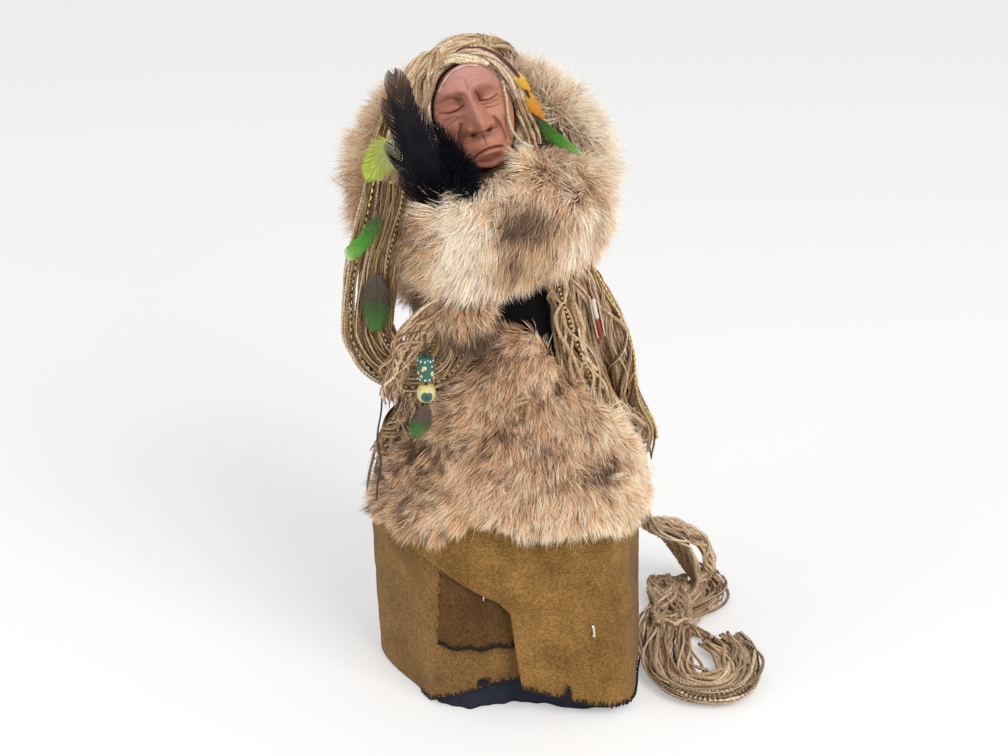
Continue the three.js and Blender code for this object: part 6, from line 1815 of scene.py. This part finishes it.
# Feathers: a quill with barbs that leave it on both sides, with the flat side to the front
def feather(name, root, tip, half_width, material, body, nodes, slot, seed, sweep, split, jitter, bend=0.0, barbs=150,
            down=0.0, quill_r=0.42, bare=0.10, width=0.14, kind="leaf", ragged=0.04, quill_material=None):
    rng = np.random.default_rng(seed)
    root, tip = np.asarray(root, float), np.asarray(tip, float)
    ahead = unit(tip - root)
    out = square_to(np.array([0, -1.0, 0]), ahead)
    across = np.cross(ahead, out)
    middle = (root + tip) / 2 + across * bend
    quill = through([root, middle, tip], 60)
    fine = np.linspace(0, 1, 60)
    shaft = tubes(f"{name}_quill", quill[None], (quill_r * (1 - 0.75 * fine))[None], [1, 0.9] * 3, 0,
                  quill_material or material, [0.5])
    place(shaft, body, slot, nodes)
    length = np.linalg.norm(tip - root)
    t = bare + (1 - bare) * (1 - (1 - np.linspace(0, 1, barbs)) ** 1.5)
    t = np.repeat(t, 2) + rng.uniform(-0.2, 0.2, barbs * 2) * (1 - bare) / barbs
    t = np.clip(t, bare, 1.0)
    hand = np.tile([1.0, -1.0], barbs)
    share = np.clip((t - bare) / (1 - bare), 0, 1)
    reach = half_width * np.maximum(vane_profile(share, kind), 0.06) * rng.uniform(1 - ragged, 1 + ragged, len(t))
    groups = wobble(np.stack([t * 40, hand * 9, 0 * t], axis=-1), 3.0, seed + 1)
    reach *= 1 - split * (groups > 0.9)
    lean_on = sweep + 0.5 * share ** 2 + 0.06 * groups
    # A barb leaves the quill below the place where it ends on the outline
    leaves = np.clip(t - reach * lean_on / length, 0.5 * bare + 0.3 * (t - bare), 1)
    base, level = along(leaves, fine, quill), along(t, fine, quill)
    go = unit(along(t, fine, unit(np.gradient(quill, axis=0))))
    sideways = unit(np.cross(go, out))
    soft = down * (1 - smooth_step(share, 0.25, 0.6))
    forward = reach * (jitter + 0.25 * soft) * rng.normal(size=len(t)) - 0.06 * reach
    end = level + sideways * (hand * reach)[:, None] + out * forward[:, None]
    steps = np.linspace(0, 1, 5)[None, :, None]
    bulge = (sideways * hand[:, None] * 0.40 + out * 0.22) * reach[:, None]
    lines = base[:, None] + (end - base)[:, None] * steps + bulge[:, None] * (steps - steps ** 2)
    lines += rng.normal(size=(len(t), 1, 3)) * jitter * steps
    lines += soft[:, None, None] * rng.normal(size=(len(t), 1, 3)) * 1.6 * steps ** 2
    half = max(width, length * (1 - bare) / barbs) * np.tile([0.9, 1.0, 1.0, 0.95, 0.62], (len(t), 1))
    uv_tone = rng.uniform(0.1, 1.0, len(t))
    low_share = np.clip((leaves - bare) / (1 - bare), 0, 1)
    colour_along = low_share[:, None] + (share - low_share)[:, None] * np.linspace(0, 1, 5)[None]
    colour_along = np.repeat(colour_along, 2, axis=1)
    place(feather_ribbons(f"{name}_vane", lines, half, go[:, None], uv_tone, colour_along, material), body, slot)


# Barbs whose place along the feather, not along themselves, picks their colour
def feather_ribbons(name, lines, half, side, tone, along_feather, material):
    count, rows, _ = lines.shape
    offset = side * half[..., None]
    body = np.stack([lines - offset, lines + offset], axis=2).reshape(count, -1, 3)
    per = rows * 2
    quads = np.array([[2 * i, 2 * i + 1, 2 * i + 3, 2 * i + 2] for i in range(rows - 1)]).ravel()
    loops = (np.arange(count)[:, None] * per + quads[None]).ravel()
    uv = np.stack([np.broadcast_to(tone[:, None], (count, per)), np.clip(along_feather, 0, 1)], axis=-1)
    return make_mesh(name, body.reshape(-1, 3), loops, np.full(count * (rows - 1), 4), material, uv.reshape(-1, 2))


# Soft black down of the fan: long fine barbs that spread round a way
def down_tuft(name, roots, way, length, spread_out, tone, seed, droop, width, replaces=()):
    rng = np.random.default_rng(seed)
    count = len(roots)
    t = np.linspace(0, 1, 5)[None, :, None]
    go = unit(way + rng.normal(size=(count, 3)) * spread_out)
    bend = rng.normal(size=(count, 3)) * 0.35 + np.array([0, 0, -droop])
    lines = roots[:, None] + length[:, None, None] * (go[:, None] * t + bend[:, None] * t ** 2 * 0.5)
    side = unit(np.cross(go, rng.normal(size=(count, 3))))[:, None]
    half = width * np.tile([0.8, 1.0, 0.9, 0.6, 0.1], (count, 1))
    up_feather = np.clip(tone, 0, 1)[:, None] + 0.10 * np.repeat(t.ravel(), 2)[None]
    obj = feather_ribbons(name, lines, half, side, rng.uniform(0.0, 1.0, count), up_feather, "black_feather")
    place(obj, "raised_forearm", "black_feather", replaces)


# A place beside the face by turn, with steps outward and forward in radii of the hair roll
def beside_face(turn, outward, forward):
    angle = np.radians(turn)
    ex, ez = face_edge(angle)
    out = 4.6 + 0.7 + outward * 4.6
    return in_face(np.array([ex + out * np.cos(angle), -4.0 - 4.6 * (1.25 + forward), ez + out * np.sin(angle)]))


# A place told in shares of the head's half sizes
def by_head(shares):
    return HEAD_PLACE + np.asarray(shares, float) * [25.0, 27.0, 32.0]


# The fluffy feather: soft barbs that spread like a fan from a white root
def fluff_feather():
    root, tip = hair_place([[-0.774, -0.418, 0.886], [-1.05, -0.6, 0.82]])
    line = through([root, (root + tip) / 2, tip], 40)
    thin = 0.4 * (1 - 0.8 * np.linspace(0, 1, 40))
    shaft = tubes("fluff_feather_quill", line[None], thin[None], [1, 0.9] * 2, 0, "lime", [0.5])
    place(shaft, "fluff_pendant", "yellow_feather", ["fluff_feather"])
    rng = np.random.default_rng(402)
    count = 3400
    t = rng.uniform(0.22, 0.62, count) ** 1.1
    roots = root + (tip - root) * t[:, None] + rng.normal(size=(count, 3)) * 0.5
    ahead = unit(tip - root)
    across = unit(np.cross(ahead, [0, -1.0, 0]))
    turn = rng.normal(size=count) * 0.55
    way = ahead * np.cos(turn)[:, None] + across * np.sin(turn)[:, None]
    way = way + rng.normal(size=(count, 3)) * [0.08, 0.16, 0.08]
    length = (17.0 - 15.0 * (t - 0.2)) * (1 - 0.30 * np.abs(turn)).clip(0.35, 1) * rng.uniform(0.7, 1.05, count)
    bend = rng.normal(size=(count, 3)) * 0.08
    steps = np.linspace(0, 1, 6)[None, :, None]
    shape = roots[:, None] + length[:, None, None] * (unit(way)[:, None] * steps + bend[:, None] * steps ** 2)
    side = unit(np.cross(way, [0, -1.0, 0]) + rng.normal(size=(count, 3)) * 0.3)[:, None]
    half = 0.13 * np.tile([0.7, 1.0, 1.0, 0.9, 0.7, 0.2], (count, 1))
    tone = np.clip(0.06 + 1.1 * (t - 0.22) + 0.35 * turn * 0.6, 0, 0.45)
    shade = tone[:, None] + 0.62 * np.repeat(steps.ravel(), 2)[None]
    obj = feather_ribbons("fluff_feather_vane", shape, half, side, rng.uniform(0.2, 1.0, count), shade, "lime")
    place(obj, "fluff_pendant", "yellow_feather")


# The other feathers of the hair. The left ones hang in front of the strands
def hair_feathers():
    root, tip = hair_place([[-0.905, -0.5, 0.784], [-1.19, -0.6, 0.715]]) + [[0, -9, 0], [0, -5, 0]]
    feather("green_feather", root, tip, 4.2, "green", "green_pendant", ["green_feather"], "green_feather", 405,
            1.5, 0.0, 0.02, bend=-1.8, kind="blade")
    root, tip = hair_place([[-0.968, -0.583, 0.69], [-0.975, -0.665, 0.605]]) + [0, -3.5, 0]
    feather("dark_feather", root, tip, 7.6, "dark_green", "dark_pendant", ["dark_feather"], "green_feather", 407,
            0.9, 0.0, 0.02, down=0.12, bare=0.04)
    for name, turn, tip_share, half, material, slot, seed, bend, kind in (
            ("yellow_feather_upper", 26, [1.26, -0.48, 0.53], 3.0, "yellow", "yellow_feather", 409, 0.8, "point"),
            ("yellow_feather_lower", 8, [1.56, -0.7, 0.11], 3.4, "orange", "orange_feather", 411, 1.2, "point"),
            ("green_feather_right", -12, [2.33, -0.815, -0.45], 3.8, "green", "green_feather", 413, 2.2, "point")):
        feather(name, beside_face(turn, 0.7, 0.7), by_head(tip_share), half, material, "doll", [name], slot, seed,
                1.5, 0.05, 0.03, bend=bend, kind=kind)


fluff_feather()
hair_feathers()


# The dark fan: long overlapping blades that spread from the fist, with black down over their right edge
FAN_ROOT = np.array([-28.9, -60.0, 305.2])
# Each blade's tip, half width, shift of the root, material and raggedness
FAN_BLADES = [
    ((-54.8, -54.5, 371.0), 6.4, (-3.0, -1.6, 1.0), "fan_feather", 0.02),
    ((-58.6, -52.0, 356.0), 5.0, (-4.6, 1.0, -1.5), "fan_feather", 0.06),
    ((-57.0, -54.0, 334.0), 5.4, (-6.0, 0.2, -4.0), "black_feather", 0.12),
    ((-50.6, -56.0, 318.0), 5.6, (-6.5, -0.6, -6.0), "black_feather", 0.12),
    ((-51.0, -54.0, 350.0), 6.0, (-1.5, -0.2, 0.0), "black_feather", 0.06),
    ((-45.4, -56.4, 352.4), 6.0, (0.0, -0.8, -1.0), "black_feather", 0.08),
    ((-37.0, -58.4, 344.7), 6.6, (2.0, -1.4, -1.0), "black_feather", 0.12),
    ((-28.4, -59.6, 336.4), 6.6, (4.0, -1.8, -2.0), "black_feather", 0.25),
    ((-20.4, -60.0, 328.8), 6.2, (5.5, -2.0, -3.5), "black_feather", 0.35),
    ((-15.0, -60.2, 319.4), 5.8, (5.5, -2.2, -6.0), "black_feather", 0.4),
    ((-50.0, -58.0, 344.0), 6.4, (-3.5, -1.8, -2.5), "black_feather", 0.12),
    ((-41.0, -59.6, 332.0), 7.0, (-1.5, -2.6, -3.5), "black_feather", 0.18)]


def fan():
    for k, (tip, half, shift, material, ragged) in enumerate(FAN_BLADES):
        nodes, quill_material = ((), "black_feather") if k else (["fan_tip_feather"], "fan_feather")
        feather(f"fan_blade_{k + 1}", FAN_ROOT + shift, tip, half, material, "raised_forearm", nodes, "black_feather",
                421 + 2 * k, 1.7, 0.10, 0.05, bend=-1.2 + 0.25 * k, barbs=170, bare=0.12, width=0.16, quill_r=0.45,
                kind="blade", ragged=ragged, quill_material=quill_material)
    rng = np.random.default_rng(446)
    foot = 2600
    around = rng.normal(size=(foot, 3)) * [5.2, 1.4, 3.6] + FAN_ROOT + [-2.5, -3.0, -1.0]
    way = unit(np.array([-0.45, -0.2, 1.0])) + rng.normal(size=(foot, 3)) * [0.35, 0.12, 0.25]
    down_tuft("fan_root_down", around, way, rng.uniform(6, 12, foot), 0.1, rng.uniform(0, 1, foot), 447, 0.0, 0.16)
    rng = np.random.default_rng(442)
    count = 3600
    share = rng.uniform(size=count) ** 0.8
    edge = through([[-33.5, -58.6, 345.0], [-25.0, -60.0, 335.0], [-18.0, -60.6, 326.0], [-15.0, -60.8, 316.0],
                    [-19.0, -61.0, 306.0], [-27.0, -61.0, 301.0], [-36.0, -60.5, 304.0]], 100)
    rim = edge[(share * 99).astype(int)]
    roots = rim + (FAN_ROOT - rim) * rng.uniform(0.1, 0.75, (count, 1))
    way = unit(rim - FAN_ROOT + [0, 0, -2.0]) + rng.normal(size=(count, 3)) * [0.24, 0.14, 0.24]
    down_tuft("fan_black_down", roots + [0, -1.2, 0], way, rng.uniform(5, 10, count), 0.12, share, 443, 0.1, 0.15,
              ["fan_down"])
    stray = 260
    pick = edge[(rng.uniform(0.0, 0.55, stray) * 99).astype(int)]
    way = unit(pick - FAN_ROOT) + np.array([0.2, -0.1, 0.25]) + rng.normal(size=(stray, 3)) * 0.25
    down_tuft("fan_stray_barbs", pick - [1.5, 0, 1.5], way, rng.uniform(4, 8, stray), 0.2, rng.uniform(0, 1, stray),
              445, 0.25, 0.1)


fan()


# Heights of the beads' middles
TUBE_BEAD, ROUND_BEAD = 213.9, 199.65


# A bead turned round the drop's cord from a closed section
def lathe(name, rings, sides, material, body, node, middle):
    turn = np.linspace(0, 2 * np.pi, sides, endpoint=False)
    points = [np.stack([DROP[0] + r * np.cos(turn), DROP[1] + r * np.sin(turn), np.full(sides, middle + z)], axis=1)
              for r, z in rings]
    rows = len(rings)
    i, j = np.meshgrid(np.arange(rows), np.arange(sides), indexing="ij")
    n, k = (i + 1) % rows, (j + 1) % sides
    quads = np.stack([i * sides + j, i * sides + k, n * sides + k, n * sides + j], axis=-1).reshape(-1, 4)
    obj = make_mesh(name, np.concatenate(points), quads, np.full(len(quads), 4), material)
    place(obj, body, "bead_glass", [node])


# Section of a bead with its bore: the higher the power, the straighter its side
def bead_rings(radius, half, power):
    bore = 0.85
    outside = []
    for t in np.sin(np.linspace(-np.pi / 2, np.pi / 2, 25)):
        swell = max(0.0, 1 - abs(t) ** power) ** 0.5
        outside.append([bore + 0.5 + (radius - bore - 0.5) * swell, half * t])
    return outside + [[bore, half - 0.15], [bore, 0], [bore, -half + 0.15]]


# Low domes of glass on a bead, each told by its turn, height, size, distance from the cord and lift
def dots(name, places, material, body, middle, sides=14):
    points, loops, sizes, start = [], [], [], 0
    up = np.array([0, 0, 1.0])
    for turn, z, size, radius, lift in places:
        a = math.radians(turn)
        centre = np.array([DROP[0] + radius * math.cos(a), DROP[1] + radius * math.sin(a), middle + z])
        out = np.array([math.cos(a), math.sin(a), 0])
        side = np.array([-math.sin(a), math.cos(a), 0])
        rings = [(1.0, -0.35), (0.95, 0.35 * lift), (0.6, 0.85 * lift), (0.05, 1.0 * lift)]
        for share, high in rings:
            for b in np.linspace(0, 2 * np.pi, sides, endpoint=False):
                points.append(centre + out * high + (side * math.cos(b) + up * math.sin(b)) * size * share)
        for low in (start, start + sides, start + 2 * sides):
            for s in range(sides):
                n = (s + 1) % sides
                loops += [low + s, low + n, low + sides + n, low + sides + s]
                sizes.append(4)
        loops += [start + 3 * sides + s for s in range(sides)] + [start + s for s in range(sides)][::-1]
        sizes += [sides, sides]
        start += 4 * sides
    place(make_mesh(name, points, loops, sizes, material), body, "bead_glass")


def beads():
    rng = np.random.default_rng(431)
    lathe("tube_bead_glass", bead_rings(4.4, 7.0, 8), 40, "bead_teal", "tube_bead_body", "tube_bead", TUBE_BEAD)
    white = [(230 + 36 * k + rng.uniform(-6, 6), z, 0.55, 4.35, 0.25) for k in range(10) for z in (-5.2, 5.1)]
    white += [(248 + 72 * k, 0.4 + 1.6 * (k % 2), 0.6, 4.35, 0.25) for k in range(5)]
    dots("tube_bead_white_dots", white, "bead_white", "tube_bead_body", TUBE_BEAD)
    yellow = [(262 + 60 * k, 1.6 - 3.4 * (k % 2), 1.35, 4.25, 0.3) for k in range(6)]
    yellow += [(238 + 90 * k, -3.2, 0.9, 4.3, 0.3) for k in range(4)]
    dots("tube_bead_yellow_dots", yellow, "bead_yellow", "tube_bead_body", TUBE_BEAD)
    lathe("round_bead_glass", bead_rings(5.0, 5.0, 2.2), 44, "bead_yellow", "round_bead_body", "round_bead", ROUND_BEAD)
    dots("round_bead_green_eye", [(275, -0.4, 3.1, 4.2, 0.9)], "bead_teal", "round_bead_body", ROUND_BEAD, 24)
    dots("round_bead_dark_eye", [(275, -0.5, 1.55, 4.75, 0.6)], "bead_dark", "round_bead_body", ROUND_BEAD, 20)
    brown = [(200 + 30 * k, 2.6 + 0.5 * (k % 2), 0.5, 4.05, 0.3) for k in range(12)]
    dots("round_bead_brown_dots", brown, "bead_dark", "round_bead_body", ROUND_BEAD)
    root = np.array([DROP[0], DROP[1], DROP_END - 0.3])
    feather("bead_feather", root, root + [-7.0, 0, -19.6], 5.6, "dark_green", "bead_drop", ["bead_feather"],
            "green_feather", 433, 0.9, 0.0, 0.02, bend=-0.8, down=0.2)


beads()


# Red quill between two pale sticks that hangs among the right locks
def side_quill():
    stand = DRESS_STAND + 0.7 + 7.5 * 1.6
    top = on_body(np.array(math.radians(-27.1)), np.array(234.2), stand)
    low = on_body(np.array(math.radians(-24.0)), np.array(210.4), stand)
    radius = 1.4 * (1 - 0.35 * np.linspace(0, 1, 50) ** 2)
    obj = tubes("side_quill_shaft", through([top, low], 50)[None], radius[None], TWIST_4, 0.3, "quill", [0.5])
    place(obj, "doll", "quill", ["side_quill"])
    for k, shift in enumerate(([-2.0, -0.8, 0.6], [2.0, 0.2, 1.4])):
        stick = through([top + shift + [0, 0, 1.5], (top + low) / 2 + np.array(shift) * 1.02, low + shift], 40)
        thread(f"side_quill_stick_{k + 1}", stick, 0.5, [1, 0.85] * 3, 0.0, "band", slot="quill")


side_quill()


# Wood, wire and cloth that the clothes hide keep their CAD shapes
for node_name, material_name in (("support_block", "wood"), ("spine_dowel", "wood"), ("neck_post", "wood"),
                                 ("raised_arm_wire", "steel"), ("forearm_wire", "steel"), ("lowered_arm_wire", "steel"),
                                 ("fan_stick", "stick")):
    NODES[node_name].data.materials.clear()
    NODES[node_name].data.materials.append(MAT[material_name])


def stuffed(name, node):
    points, faces = skin_of(node, 3.0, 0.2, 3)
    obj = make_mesh(name, points, faces, np.full(len(faces), 3), "stuffing")
    place(obj, "doll", "stuffing", [node])


stuffed("hip_stuffing", "hip_padding")
stuffed("torso_stuffing", "torso_padding")
